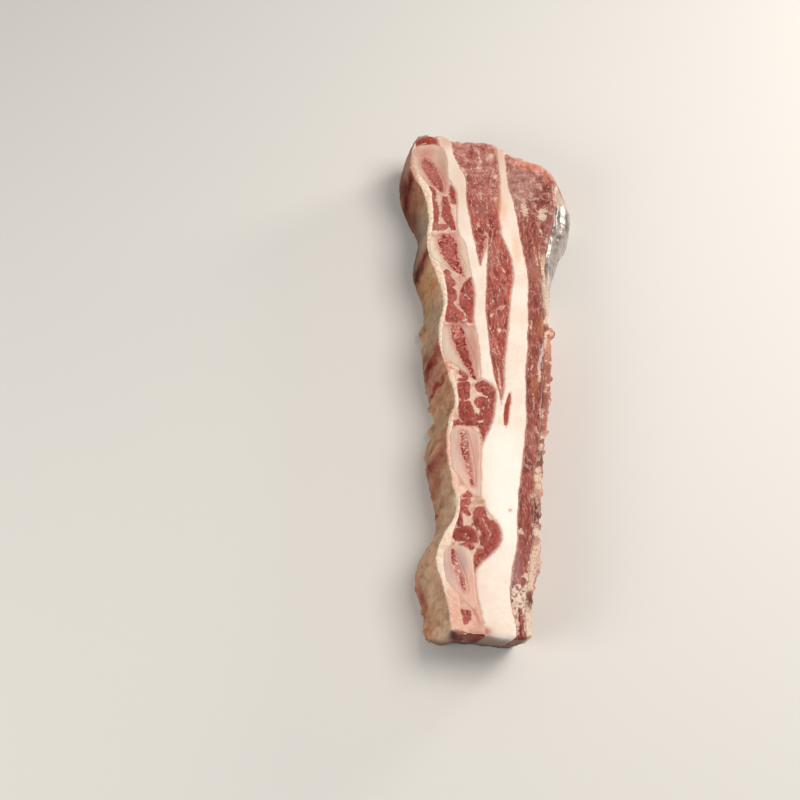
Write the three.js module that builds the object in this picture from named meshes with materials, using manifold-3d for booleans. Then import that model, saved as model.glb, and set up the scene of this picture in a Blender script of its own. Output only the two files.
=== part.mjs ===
// Flanken-cut beef ribs: one strip sawn straight across five ribs of the plate.
//
// The strip lies on one sawn face, with the other sawn face up. It is long along Y, with its wide end
// at +Y. The inner chest side with its lining is at -X and the outer side of the flank is at +X. The
// origin is at the middle of the strip on the surface that it rests on. All sizes are millimetres.
import * as THREE from 'three';
import { mergeVertices } from 'three/addons/utils/BufferGeometryUtils.js';
import Module from 'manifold-3d';

const wasm = await Module();
wasm.setup();

const THICKNESS = 28;
const GAP = 0.3;
const STEP = 3.1;
const OVERREACH = 18;

// The chest side, from the near end to the far end: [y, x at the upper face, x at the lower face].
// It bulges over each rib and is hollow between them.
const CHEST_SIDE = [
  [-132, -24, -34.5],
  [-114, -26, -36],
  [-98, -29.5, -38.5],
  [-88, -27, -36],
  [-76, -20.5, -29.5],
  [-60, -22, -30],
  [-43, -24, -33],
  [-32, -22.5, -32.5],
  [-22, -19.5, -28.5],
  [-6, -22.5, -31],
  [5, -25.1, -32.5],
  [15, -26, -33.5],
  [33, -23.5, -32.5],
  [47, -26, -33],
  [64, -30.5, -37.5],
  [84, -29.5, -34.5],
  [96, -31.5, -39],
  [112, -38, -43.5],
  [124, -37, -43.5],
];

// The outer side, read the same way. It leans in under most of the strip and flares out at the far end.
const OUTER_SIDE = [
  [-132, 9, 4],
  [-118, 10, 6],
  [-100, 14.4, 10.5],
  [-84, 15.3, 11.5],
  [-42, 20.3, 16.5],
  [0, 26, 22.5],
  [30, 26.5, 25],
  [48, 27.3, 29],
  [60, 28.2, 32],
  [72, 31.2, 37],
  [84, 34, 42.4],
  [98, 34.8, 43.4],
];

// The two ends on the upper face, as points that a smooth curve runs through, counter-clockwise.
const NEAR_END = [[-24, -130], [-8, -131], [0, -132.6], [9, -132]];
const FAR_END = [[34.8, 98], [32.6, 107], [27, 113.5], [14, 119.5], [2, 126], [-14, 128], [-24, 132],
  [-31, 132.2], [-35.2, 129], [-37, 124]];
const NEAR_UNDERCUT = 5;
const NEAR_UNDERCUT_START = -100;
const CHEST_BULGE = 1;
const OUTER_BULGE = 1.4;
const EDGE_ROUNDING = 0.5;
const RING_LEVELS = [0, 0.04, 0.5, 0.97, 1];

// Each rib's corners on the upper face: the blunt head, the tip that points to the near end, and the heel
// where its chest side starts to taper. The head's corners are rounded by shares of its width. The marrow is
// a leaf from one point to another.
const RIBS = [
  { head: [[-36.5, 125.5], [-19, 128.5]], tip: [-19.4, 92.8], heel: [-35.5, 110],
    marrow: { from: [-31.2, 117.5], to: [-21.8, 99.5], half: 3.2 } },
  { head: [[-29.5, 70.5], [-12.5, 72.5]], tip: [-9, 43], heel: [-28.6, 57.5],
    marrow: { from: [-24.5, 68], to: [-12.8, 48.5], half: 3.8 } },
  { head: [[-24.2, 20], [-8, 19.5]], tip: [-6.5, -13.5], heel: [-23.9, 2],
    marrow: { from: [-17.5, 17.8], to: [-9.6, -8], half: 2.8 } },
  { head: [[-22.2, -35.5], [-8, -34]], tip: [-9.5, -73], heel: [-21.9, -54.5],
    marrow: { from: [-15.5, -37.2], to: [-12.2, -63], half: 2.2 } },
  { head: [[-25.5, -92], [-14.2, -91.6]], tip: [-12, -124], heel: [-26.2, -106.5],
    marrow: { from: [-22, -94.5], to: [-16.6, -114], half: 1.9 } },
];
const HEAD_ROUNDING = { left: 0.3, right: 0.58 };
const CORNER_RADII = { tip: 2.4, heel: 6 };
const RIB_STEPS = 28;
const LONGEST_MITRE = 0.3;
const LEAF_STEPS = 7;

// Edges between the tissues on the upper face, each a curve through [y, x] knots.
// The rim of fat on the chest side is given by its width instead: [y, width].
const RIM_WIDTH = [[-132, 5], [-92, 5], [-76, 1.7], [-60, 2.6], [-40, 2.3], [-20, 1.6], [-6, 2.5], [14, 2.4],
  [31, 1.8], [48, 3.3], [66, 2.2], [84, 2.5], [100, 4], [124, 2]];
// Past the ribs and the muscles between them, two of which bulge into the seam of fat.
const COLUMN_EDGE = [[-132, -9], [-113, -12.7], [-106, -13.3], [-103, -12.5], [-100, -10.2], [-96, -5.5],
  [-92.5, -2.1], [-88.5, -0.7], [-84, -1.3], [-80, -4], [-75.5, -7.2], [-71, -9], [-54, -9.6], [-46, -8.2],
  [-40.5, -5.9], [-34, -2.8], [-27, -1.5], [-19, -0.7], [-14, -1], [-11.5, -3.6], [-9.3, -7.6], [3, -7.9],
  [20, -8.8], [38, -8.2], [57, -11.6], [72, -14.8], [88, -14.9], [96, -15.2],
  [101, -17], [105, -19.2], [112, -19.4], [130, -24]];
const INNER_LEAN_FAR_EDGE = [[52, -4.9], [71, -7.5], [92, -10.3], [106, -10.2], [111, -12.5], [121, -15.5],
  [136, -17.5]];
const INNER_LEAN_NOTCH_EDGE = [[52, -4], [60, -2.9], [68, -1.5]];
const INNER_LEAN_NEAR_EDGE = [[-21, 1.2], [-12, -0.2], [-4, -1.2], [16, -2.8], [28, -3.4], [41, -2.5],
  [54, -1.4], [68, -0.6]];
const INNER_LEAN_OUTER_EDGE = [[-21, 2.2], [-16, 3.4], [-4, 4.5], [16, 6.5], [36, 9.5], [48, 11], [58, 9.8],
  [70, 6.3], [80, 5.5], [92, 6.5], [111, 6.5], [136, 5]];
const OUTER_SEAM_EDGE = [[-132, 3], [-112, 1.5], [-104, 2.5], [-89, 5.5], [-69, 7], [-39, 11.7], [-9, 13.6],
  [21, 16.5], [41, 17.5], [61, 16], [84, 13.8], [102, 10.7], [136, 10.5]];
const OUTER_RIM_EDGE = [[-132, 7], [-118, 7.6], [-107, 9.6], [-94, 12], [-72, 14.1], [-58, 14.8], [-49, 17.2],
  [-34, 19], [-4, 22.5], [16, 23.4], [46, 24], [58, 24.9], [70, 27.4], [88, 30.6]];

const INNER_LEAN_TIP = [1.8, -23.5];
const SLIVER = { from: [5.9, -17.5], to: [3, -35], half: 1.15 };
const OUTER_RIM_FAR_END = 88;
const SILVERSKIN = { thickness: 1.8, near: 40, far: 101 };

// How far each cut tissue stands below the sawn face.
const SINK = { fat: 0, bone: 0.1, marrow: 0.7, muscle: 0.35, skin: 0.2 };

// Crumbs of fat along the ragged outer edge, and three larger lumps: [x, y, z, radius].
const CRUMBS = { count: 26, near: -128, far: 12, low: 13, high: 26.4, smallest: 0.9, largest: 1.9, seed: 41 };
const LUMPS = [[-32.4, 28, 4.2, 2.7], [-29.2, -25, 3.8, 2.4], [26.8, 15.5, 24.4, 2.4]];
const RAGGED = { far: 44, depth: 0.7, foot: 0.2 };

const COLOURS = {
  fat: { color: 0xf3e6d3, roughness: 0.45 },
  rim: { color: 0xe3c6a4, roughness: 0.4 },
  outerRim: { color: 0xecc9b0, roughness: 0.6 },
  bone: { color: 0xd9b8a4, roughness: 0.5 },
  marrow: { color: 0xa4483f, roughness: 0.6 },
  muscle: { color: 0x98403c, roughness: 0.42 },
  skin: { color: 0xa29c98, roughness: 0.2 },
};

/** Repeatable random numbers from 0 to 1. */
function randomFrom(seed) {
  let state = seed;
  return () => {
    state = (state * 1664525 + 1013904223) % 4294967296;
    return state / 4294967296;
  };
}

/** A smooth function through [parameter, value] knots, level past both ends. */
function through(knots) {
  const parameters = knots.map(([parameter]) => parameter);
  const values = knots.map(([, value]) => value);
  const spline = new THREE.CubicInterpolant(parameters, values, 1);
  return (parameter) => spline.evaluate(parameter)[0];
}

const chestUpper = through(CHEST_SIDE.map(([y, upper]) => [y, upper]));
const chestLower = through(CHEST_SIDE.map(([y, , lower]) => [y, lower]));
const outerUpper = through(OUTER_SIDE.map(([y, upper]) => [y, upper]));
const outerLower = through(OUTER_SIDE.map(([y, , lower]) => [y, lower]));

/** Where a point of the upper face lies on its way down, at a share of the height. */
function follow(point, share) {
  const across = (point.x - chestUpper(point.y)) / (outerUpper(point.y) - chestUpper(point.y));
  const footX = THREE.MathUtils.lerp(chestLower(point.y), outerLower(point.y), across);
  const under = 1 - THREE.MathUtils.smoothstep(point.y, NEAR_END[0][1], NEAR_UNDERCUT_START);
  const footY = point.y + NEAR_UNDERCUT * under;
  return new THREE.Vector3(
    THREE.MathUtils.lerp(footX, point.x, share),
    THREE.MathUtils.lerp(footY, point.y, share),
    share * THICKNESS,
  );
}

/** Outward normals in plan of a counter-clockwise outline, longer at a corner so that its walls keep step. */
function normalsOf(outline) {
  return outline.map((point, index) => {
    const into = point.clone().sub(outline.at(index - 1)).normalize();
    const out = outline[(index + 1) % outline.length].clone().sub(point).normalize();
    const normal = new THREE.Vector2(into.y + out.y, -into.x - out.x).normalize();
    return normal.divideScalar(Math.max(LONGEST_MITRE, normal.x * into.y - normal.y * into.x));
  });
}

/** The outline moved outward by a distance, or inward by a negative one. */
function grow(outline, distance) {
  const normals = normalsOf(outline);
  return outline.map((point, index) => point.clone().addScaledVector(normals[index], distance));
}

/**
 * A closed solid between rings of equal point count, from the lowest to the highest. Its walls are split
 * alike whichever way round they run, so that two solids that share an edge stay a gap apart.
 */
function solidFromRings(rings) {
  const count = rings[0].length;
  const vertices = rings.flat();
  const triangles = [];
  for (let ring = 0; ring + 1 < rings.length; ring += 1) {
    for (let index = 0; index < count; index += 1) {
      const a = ring * count + index;
      const b = ring * count + ((index + 1) % count);
      if (vertices[a].y < vertices[b].y) triangles.push(a, b, b + count, a, b + count, a + count);
      else triangles.push(a, b, a + count, b, b + count, a + count);
    }
  }
  const highest = (rings.length - 1) * count;
  const planOf = (ring) => ring.map(({ x, y }) => new THREE.Vector2(x, y));
  const capOf = (ring) => THREE.ShapeUtils.triangulateShape(planOf(ring), []);
  for (const [a, b, c] of capOf(rings[0])) triangles.push(a, c, b);
  for (const [a, b, c] of capOf(rings.at(-1))) triangles.push(highest + a, highest + b, highest + c);
  return new wasm.Manifold(new wasm.Mesh({
    numProp: 3,
    vertProperties: new Float32Array(vertices.flatMap(({ x, y, z }) => [x, y, z])),
    triVerts: new Uint32Array(triangles),
  }));
}

/** A column that follows the lean of the strip, from below it to a depth under the upper face. */
function column(outline, grown, sink = -2) {
  const ring = grow(outline, grown);
  const top = 1 - sink / THICKNESS;
  return solidFromRings([-0.08, top].map((share) => ring.map((point) => follow(point, share))));
}

/** Evenly spaced y values that all the long edges share, between two limits that are included. */
function stations(from, to) {
  const low = Math.min(from, to);
  const high = Math.max(from, to);
  const inner = [];
  for (let y = Math.ceil(low / STEP) * STEP; y < high; y += STEP) {
    if (y - low > STEP / 3 && high - y > STEP / 3) inner.push(y);
  }
  const all = [low, ...inner, high];
  return from < to ? all : all.reverse();
}

/** Points along an edge that is given as a function of y. */
const edge = (from, to, xAt) => stations(from, to).map((y) => new THREE.Vector2(xAt(y), y));

/** The outline between two edges, counter-clockwise. */
const band = (near, far, leftAt, rightAt) => [...edge(near, far, rightAt), ...edge(far, near, leftAt)];

/** A smooth open curve through points, evenly sampled without its last point. */
function sweep(points, count) {
  const knots = points.map(([x, y]) => new THREE.Vector3(x, y, 0));
  const curve = new THREE.CatmullRomCurve3(knots, false, 'centripetal');
  return curve.getSpacedPoints(count).slice(0, -1).map(({ x, y }) => new THREE.Vector2(x, y));
}

/** A polygon whose corners are rounded, counter-clockwise. Each corner is [[x, y], radius]. */
function roundedPolygon(corners) {
  const outline = new THREE.Path();
  corners.forEach(([place, radius], index) => {
    const corner = new THREE.Vector2(...place);
    const before = new THREE.Vector2(...corners.at(index - 1)[0]).sub(corner);
    const after = new THREE.Vector2(...corners[(index + 1) % corners.length][0]).sub(corner);
    const cut = radius / Math.tan(before.angleTo(after) / 2);
    const start = corner.clone().addScaledVector(before.normalize(), cut);
    const end = corner.clone().addScaledVector(after.normalize(), cut);
    if (index === 0) outline.moveTo(start.x, start.y);
    else outline.lineTo(start.x, start.y);
    outline.quadraticCurveTo(corner.x, corner.y, end.x, end.y);
  });
  outline.closePath();
  return outline.getSpacedPoints(RIB_STEPS).slice(0, -1);
}

/** A slender leaf from one point to another, counter-clockwise. */
function leaf({ from, to, half }) {
  const start = new THREE.Vector2(...from);
  const along = new THREE.Vector2(...to).sub(start);
  const side = new THREE.Vector2(-along.y, along.x).normalize();
  const points = [];
  for (let step = 0; step < 2 * LEAF_STEPS; step += 1) {
    const turn = (Math.PI * step) / LEAF_STEPS;
    const width = -half * Math.sign(Math.sin(turn)) * Math.abs(Math.sin(turn)) ** 0.75;
    points.push(start.clone().addScaledVector(along, (1 - Math.cos(turn)) / 2).addScaledVector(side, width));
  }
  return points;
}

/** A lump or crumb of fat with flat facets. */
function lump([x, y, z, radius], detail) {
  const geometry = new THREE.IcosahedronGeometry(radius, detail);
  geometry.deleteAttribute('normal');
  geometry.deleteAttribute('uv');
  geometry.scale(1, 1.25, 0.8);
  geometry.translate(x, y, z);
  const merged = mergeVertices(geometry, 1e-3);
  return new wasm.Manifold(new wasm.Mesh({
    numProp: 3,
    vertProperties: new Float32Array(merged.getAttribute('position').array),
    triVerts: new Uint32Array(merged.getIndex().array),
  }));
}

/** The whole strip before its tissues are told apart, with its ragged outer edge, crumbs and lumps. */
function wholeStrip() {
  const nearEnd = sweep(NEAR_END, 9);
  const outer = edge(NEAR_END.at(-1)[1], FAR_END[0][1], outerUpper).slice(0, -1);
  const farEnd = sweep(FAR_END, 20);
  const chest = edge(FAR_END.at(-1)[1], NEAR_END[0][1], chestUpper).slice(0, -1);
  const outline = [...nearEnd, ...outer, ...farEnd, ...chest];
  const normals = normalsOf(outline);
  const random = randomFrom(CRUMBS.seed);
  const rings = RING_LEVELS.map((share) => outline.map((point, index) => {
    const bulge = (normals[index].x > 0 ? OUTER_BULGE : CHEST_BULGE) * Math.sin(Math.PI * share);
    const atEdge = share === 0 || share === 1 ? EDGE_ROUNDING : 0;
    const ragged = normals[index].x > 0.5 && point.y < RAGGED.far && share > RAGGED.foot
      ? RAGGED.depth * (random() - 0.5) : 0;
    const place = follow(point, share);
    const shift = bulge + ragged - atEdge;
    return new THREE.Vector3(place.x + normals[index].x * shift, place.y + normals[index].y * shift, place.z);
  }));
  let strip = solidFromRings(rings);
  for (let index = 0; index < CRUMBS.count; index += 1) {
    const y = THREE.MathUtils.lerp(CRUMBS.near, CRUMBS.far, (index + random()) / CRUMBS.count);
    const z = THREE.MathUtils.lerp(CRUMBS.low, CRUMBS.high, Math.sqrt(random()));
    const radius = THREE.MathUtils.lerp(CRUMBS.smallest, CRUMBS.largest, random());
    const place = follow(new THREE.Vector2(outerUpper(y), y), z / THICKNESS);
    strip = strip.add(lump([place.x + 0.4, y, z, radius], 0));
  }
  for (const place of LUMPS) strip = strip.add(lump(place, 1));
  return strip;
}

/** A named mesh from a cut solid. */
function meshOf(name, solid, { color, roughness }) {
  const { vertProperties, triVerts } = solid.getMesh();
  const geometry = new THREE.BufferGeometry();
  geometry.setAttribute('position', new THREE.BufferAttribute(new Float32Array(vertProperties), 3));
  geometry.setIndex(new THREE.BufferAttribute(new Uint32Array(triVerts), 1));
  geometry.computeVertexNormals();
  const mesh = new THREE.Mesh(geometry, new THREE.MeshStandardMaterial({ color, roughness, metalness: 0 }));
  mesh.name = name;
  return mesh;
}

const HALF_GAP = GAP / 2;
const NEAR_LIMIT = NEAR_END[2][1] - OVERREACH;
const FAR_LIMIT = FAR_END[7][1] + OVERREACH;

const rimWidth = through(RIM_WIDTH);
const columnLeft = (y) => chestUpper(y) + rimWidth(y);
const columnRight = through(COLUMN_EDGE);
const outerSeam = through(OUTER_SEAM_EDGE);
const outerRim = through(OUTER_RIM_EDGE);
const beyondChest = (y) => chestUpper(y) - OVERREACH;
const beyondOuter = (y) => outerUpper(y) + OVERREACH;

const ribOutlines = RIBS.map(({ head: [left, right], tip, heel }) => {
  const width = Math.hypot(right[0] - left[0], right[1] - left[1]);
  return roundedPolygon([
    [left, HEAD_ROUNDING.left * width],
    [heel, CORNER_RADII.heel],
    [tip, CORNER_RADII.tip],
    [right, HEAD_ROUNDING.right * width],
  ]);
});
const marrowOutlines = RIBS.map(({ marrow }) => leaf(marrow));
const columnOutline = band(NEAR_LIMIT, FAR_LIMIT, columnLeft, columnRight);
const sliverOutline = leaf(SLIVER);
const innerLeanOutline = [
  ...edge(INNER_LEAN_OUTER_EDGE[0][0], FAR_LIMIT, through(INNER_LEAN_OUTER_EDGE)),
  ...edge(FAR_LIMIT, INNER_LEAN_FAR_EDGE[0][0], through(INNER_LEAN_FAR_EDGE)),
  ...edge(INNER_LEAN_NOTCH_EDGE[0][0], INNER_LEAN_NOTCH_EDGE.at(-1)[0], through(INNER_LEAN_NOTCH_EDGE)),
  ...edge(INNER_LEAN_NEAR_EDGE.at(-1)[0], INNER_LEAN_NEAR_EDGE[0][0], through(INNER_LEAN_NEAR_EDGE)),
  new THREE.Vector2(...INNER_LEAN_TIP),
];
const rimOutline = band(NEAR_LIMIT, FAR_LIMIT, beyondChest, columnLeft);
const seamOutline = band(NEAR_LIMIT, FAR_LIMIT, columnRight, outerSeam);
const outerLeanOutline = band(NEAR_LIMIT, FAR_LIMIT, outerSeam, beyondOuter);
const outerRimOutline = band(NEAR_LIMIT, OUTER_RIM_FAR_END, outerRim, beyondOuter);
const silverskinOutline = band(SILVERSKIN.near, SILVERSKIN.far, (y) => outerUpper(y) - SILVERSKIN.thickness,
  beyondOuter);

const strip = wholeStrip();
const cut = (outline, sink) => strip.intersect(column(outline, -HALF_GAP, sink));
const without = (solid, outlines) => outlines.reduce(
  (left, outline) => left.subtract(column(outline, HALF_GAP)),
  solid,
);

/** The muscle between two ribs, or past the first or last rib. Its limits run through the ribs. */
function intercostalMuscle(index) {
  const middleOf = ({ head, tip }) => (head[0][1] + tip[1]) / 2;
  const far = index === 0 ? FAR_LIMIT : middleOf(RIBS[index - 1]);
  const near = index === RIBS.length ? NEAR_LIMIT : middleOf(RIBS[index]);
  const reach = band(near, far, beyondChest, beyondOuter);
  const muscles = cut(columnOutline, SINK.muscle).intersect(column(reach, 0));
  return without(muscles, ribOutlines.slice(Math.max(0, index - 1), index + 1));
}

const ribs = new THREE.Group();
ribOutlines.forEach((outline, index) => {
  const bone = without(cut(outline, SINK.bone), [marrowOutlines[index]]);
  ribs.add(meshOf(`rib_bone_${index + 1}`, bone, COLOURS.bone));
  ribs.add(meshOf(`rib_marrow_${index + 1}`, cut(marrowOutlines[index], SINK.marrow), COLOURS.marrow));
});

const muscles = new THREE.Group();
for (let index = 0; index <= RIBS.length; index += 1) {
  muscles.add(meshOf(`intercostal_${index + 1}`, intercostalMuscle(index), COLOURS.muscle));
}
muscles.add(meshOf('inner_lean', cut(innerLeanOutline, SINK.muscle), COLOURS.muscle));
muscles.add(meshOf('inner_lean_sliver', cut(sliverOutline, SINK.muscle), COLOURS.muscle));
muscles.add(meshOf(
  'outer_lean',
  without(cut(outerLeanOutline, SINK.muscle), [outerRimOutline, silverskinOutline]),
  COLOURS.muscle,
));

const fats = new THREE.Group();
fats.add(meshOf('rim_fat', without(cut(rimOutline, SINK.fat), ribOutlines), COLOURS.rim));
fats.add(meshOf(
  'seam_fat',
  without(cut(seamOutline, SINK.fat), [...ribOutlines, innerLeanOutline, sliverOutline]),
  COLOURS.fat,
));
fats.add(meshOf(
  'outer_rim_fat',
  without(cut(outerRimOutline, SINK.fat), [silverskinOutline]),
  COLOURS.outerRim,
));
fats.add(meshOf('silverskin', cut(silverskinOutline, SINK.skin), COLOURS.skin));

const flankenRibs = new THREE.Group();
flankenRibs.add(ribs, muscles, fats);

export default flankenRibs;
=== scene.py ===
"""Looks of the flanken-cut beef ribs: fine tissue surfaces, raw meat finishes, floor, light and camera.

The strip lies on one sawn face. Sizes are millimetres until a piece is finished, and metres from there on.
"""

import logging
import math
import random
from dataclasses import dataclass, field
from enum import Enum

import bmesh
import bpy
import numpy as np
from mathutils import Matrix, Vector, noise
from mathutils.bvhtree import BVHTree


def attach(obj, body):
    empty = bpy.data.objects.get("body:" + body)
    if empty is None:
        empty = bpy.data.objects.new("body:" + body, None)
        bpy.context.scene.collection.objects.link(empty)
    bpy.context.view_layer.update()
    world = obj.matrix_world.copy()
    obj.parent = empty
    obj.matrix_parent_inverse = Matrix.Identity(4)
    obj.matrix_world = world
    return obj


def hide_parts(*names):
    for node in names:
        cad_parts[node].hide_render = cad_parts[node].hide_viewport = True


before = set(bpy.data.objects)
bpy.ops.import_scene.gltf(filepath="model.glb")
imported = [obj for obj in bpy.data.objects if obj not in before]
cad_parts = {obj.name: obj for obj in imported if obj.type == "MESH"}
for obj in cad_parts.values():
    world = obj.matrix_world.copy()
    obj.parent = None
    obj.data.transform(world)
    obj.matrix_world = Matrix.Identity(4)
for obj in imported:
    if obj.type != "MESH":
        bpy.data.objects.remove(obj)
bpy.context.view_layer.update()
log = logging.getLogger("ribs")

MM = 0.001
THICKNESS = 28.0
NOWHERE = 99.0
Point = tuple[float, float]
Triple = tuple[float, float, float]
Socket = bpy.types.NodeSocket
Colour = Socket | str


class Slot(Enum):
    """The record's material slots."""

    SEAM_FAT = "seam_fat"
    CHEST_RIM = "chest_rim"
    OUTER_RIM = "outer_rim"
    SILVERSKIN = "silverskin"
    BONE = "bone"
    MARROW = "marrow"
    MUSCLE = "muscle"


# Shared measures


def linear(code: str) -> tuple[float, float, float, float]:
    """Turns an sRGB hex colour such as "#a4483f" to linear RGBA.

    Args:
        code: the hex colour.
    Returns:
        The linear colour.
    """
    parts = [int(code[i : i + 2], 16) / 255 for i in (1, 3, 5)]
    r, g, b = (p / 12.92 if p <= 0.04045 else ((p + 0.055) / 1.055) ** 2.4 for p in parts)
    return r, g, b, 1.0


def ease(low: float, high: float, value: np.ndarray) -> np.ndarray:
    """Rises smoothly from 0 at low to 1 at high, or falls where high is the lower one.

    Args:
        low: where the rise starts.
        high: where it ends.
        value: the numbers to ease.
    Returns:
        A share from 0 to 1 for each value.
    """
    t = np.clip((value - low) / (high - low), 0.0, 1.0)
    return t * t * (3 - 2 * t)


def waves(points: np.ndarray, size: float, shift: float = 0.0) -> np.ndarray:
    """Smooth noise from about -1 to 1 with bumps of a real size.

    Args:
        points: places in millimetres, one row each.
        size: width of a bump in millimetres.
        shift: an offset that gives each use its own pattern.
    Returns:
        One value per point.
    """
    scaled = points / size + shift
    return np.fromiter((noise.noise(p) for p in scaled.tolist()), float, len(points))


@dataclass(frozen=True)
class StripMap:
    """Leads any point back to its place on the upper sawn face, because the strip's sides lean.

    Rows of the long sides are y, x at the upper face and x at the base. Far is the outline of the far end,
    and near_undercut is how far the foot of the near end stands back.
    """

    chest: tuple[Triple, ...] = (
        (-132, -24, -34.5), (-114, -26, -36), (-98, -29.5, -38.5), (-88, -27, -36), (-76, -20.5, -29.5),
        (-60, -22, -30), (-43, -24, -33), (-32, -22.5, -32.5), (-22, -19.5, -28.5), (-6, -22.5, -31),
        (5, -25.1, -32.5), (15, -26, -33.5), (33, -23.5, -32.5), (47, -26, -33), (64, -30.5, -37.5),
        (84, -29.5, -34.5), (96, -31.5, -39), (112, -38, -43.5), (124, -37, -43.5),
    )
    outer: tuple[Triple, ...] = (
        (-132, 9, 4), (-118, 10, 6), (-100, 14.4, 10.5), (-84, 15.3, 11.5), (-42, 20.3, 16.5),
        (0, 26, 22.5), (30, 26.5, 25), (48, 27.3, 29), (60, 28.2, 32), (72, 31.2, 37), (84, 34, 42.4),
        (98, 34.8, 43.4),
    )
    far: tuple[Point, ...] = (
        (-40, 124), (-34, 130), (-27, 131.5), (-18, 129), (0, 127), (6, 123.5), (11, 121), (20, 117.5),
        (30, 110.5), (34, 103), (36, 98),
    )
    near_undercut: float = 5.0

    def side(self, rows: tuple[Triple, ...], y: np.ndarray, share: np.ndarray) -> np.ndarray:
        """Gives x of a long side. A single place may come as plain numbers.

        Args:
            rows: chest or outer.
            y: places along the strip.
            share: height above the base over the thickness.
        Returns:
            x of the side at each place.
        """
        table = np.array(rows, float)
        top = np.interp(y, table[:, 0], table[:, 1])
        base = np.interp(y, table[:, 0], table[:, 2])
        return base + (top - base) * share

    def on_top(self, points: np.ndarray) -> np.ndarray:
        """Finds where points came from on the upper face.

        Args:
            points: places in the strip.
        Returns:
            x and y on the upper face, one row per point.
        """
        share = np.clip(points[:, 2] / THICKNESS, 0, 1)
        under = 1 - ease(-130, -100, points[:, 1])
        y = points[:, 1] - self.near_undercut * under * (1 - share)
        chest, outer = self.side(self.chest, y, share), self.side(self.outer, y, share)
        across = (points[:, 0] - chest) / (outer - chest)
        whole = np.ones_like(share)
        left, right = self.side(self.chest, y, whole), self.side(self.outer, y, whole)
        return np.stack([left + across * (right - left), y], 1)


@dataclass(frozen=True)
class Streak:
    """A streak of tissue on the face that swells and tapers, with x, y and half width along it."""

    path: tuple[Triple, ...]
    crumbly: bool = False
    crumb_depth: float = 0.22

    def distance(self, at: np.ndarray) -> np.ndarray:
        """Gives each point's distance from the streak's side, below 0 inside it.

        A crumbly one is nowhere deep, so that tears go through it.

        Args:
            at: x and y on the upper face.
        Returns:
            Distances in millimetres.
        """
        best = np.full(len(at), NOWHERE)
        for a, b in zip(self.path, self.path[1:]):
            start, along = np.array(a[:2]), np.array(b[:2]) - np.array(a[:2])
            t = np.clip((at - start) @ along / (along @ along), 0, 1)
            half = a[2] + (b[2] - a[2]) * t
            best = np.minimum(best, np.linalg.norm(at - start - t[:, None] * along, axis=1) - half)
        return np.maximum(best, -self.crumb_depth) if self.crumbly else best


@dataclass(frozen=True)
class Seam:
    """A pale sheet of connective tissue, which the saw shows as a line on the face."""

    path: tuple[Point, ...]
    width: float

    def distance(self, at: np.ndarray) -> np.ndarray:
        """Gives each point's distance from the seam's side, below 0 inside it."""
        return Streak(tuple((x, y, self.width / 2) for x, y in self.path)).distance(at)


@dataclass(frozen=True)
class Patch:
    """A pale spot of fat on the face, an oval with its half widths across and along the strip."""

    x: float
    y: float
    across: float
    along: float
    turn: float = 0.0

    def distance(self, at: np.ndarray) -> np.ndarray:
        """Gives each point's rough distance from the spot's edge, below 0 inside it.

        Args:
            at: x and y on the upper face.
        Returns:
            Distances in millimetres.
        """
        c, s = math.cos(math.radians(self.turn)), math.sin(math.radians(self.turn))
        dx, dy = at[:, 0] - self.x, at[:, 1] - self.y
        u, v = (dx * c + dy * s) / self.across, (dy * c - dx * s) / self.along
        return (np.sqrt(u * u + v * v) - 1) * min(self.across, self.along)


@dataclass(frozen=True)
class Stain:
    """A soft change of colour around a place of a face or wall, with its half widths.

    U and v are x and y on the upper face, y and z on the chest side, and x and z on the near end. Lean is
    how far its middle line moves along u for each millimetre along v.
    """

    u: float
    v: float
    across: float
    along: float
    colour: str
    strength: float = 1.0
    lean: float = 0.0

    def weight(self, at: np.ndarray) -> np.ndarray:
        """Gives how strongly the stain shows at each point.

        Args:
            at: two coordinates for each point.
        Returns:
            Shares from 0 to the stain's strength.
        """
        dv = at[:, 1] - self.v
        du = at[:, 0] - self.u - self.lean * dv
        spread = (du / self.across) ** 2 + (dv / self.along) ** 2
        return self.strength * np.exp(-(spread**1.5))


def laid_over(lower: np.ndarray, upper: np.ndarray) -> np.ndarray:
    """Lays one layer of colour over another.

    Args:
        lower: RGBA for each point, with the cover in alpha.
        upper: the same for the layer above.
    Returns:
        Both as one layer.
    """
    cover = upper[:, 3] + lower[:, 3] * (1 - upper[:, 3])
    share = (upper[:, 3] / np.maximum(cover, 1e-6))[:, None]
    colour = lower[:, :3] * (1 - share) + upper[:, :3] * share
    return np.concatenate([colour, cover[:, None]], 1)


def washed(stains: tuple[Stain, ...], at: np.ndarray) -> np.ndarray:
    """Lays stains over each other.

    Args:
        stains: from the lowest to the uppermost.
        at: two coordinates for each point.
    Returns:
        RGBA for each point, with the cover in alpha.
    """
    made = np.zeros((len(at), 4))
    for stain in stains:
        colour = np.tile(linear(stain.colour)[:3], (len(at), 1))
        made = laid_over(made, np.concatenate([colour, stain.weight(at)[:, None]], 1))
    return made


STRIP = StripMap()

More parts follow.
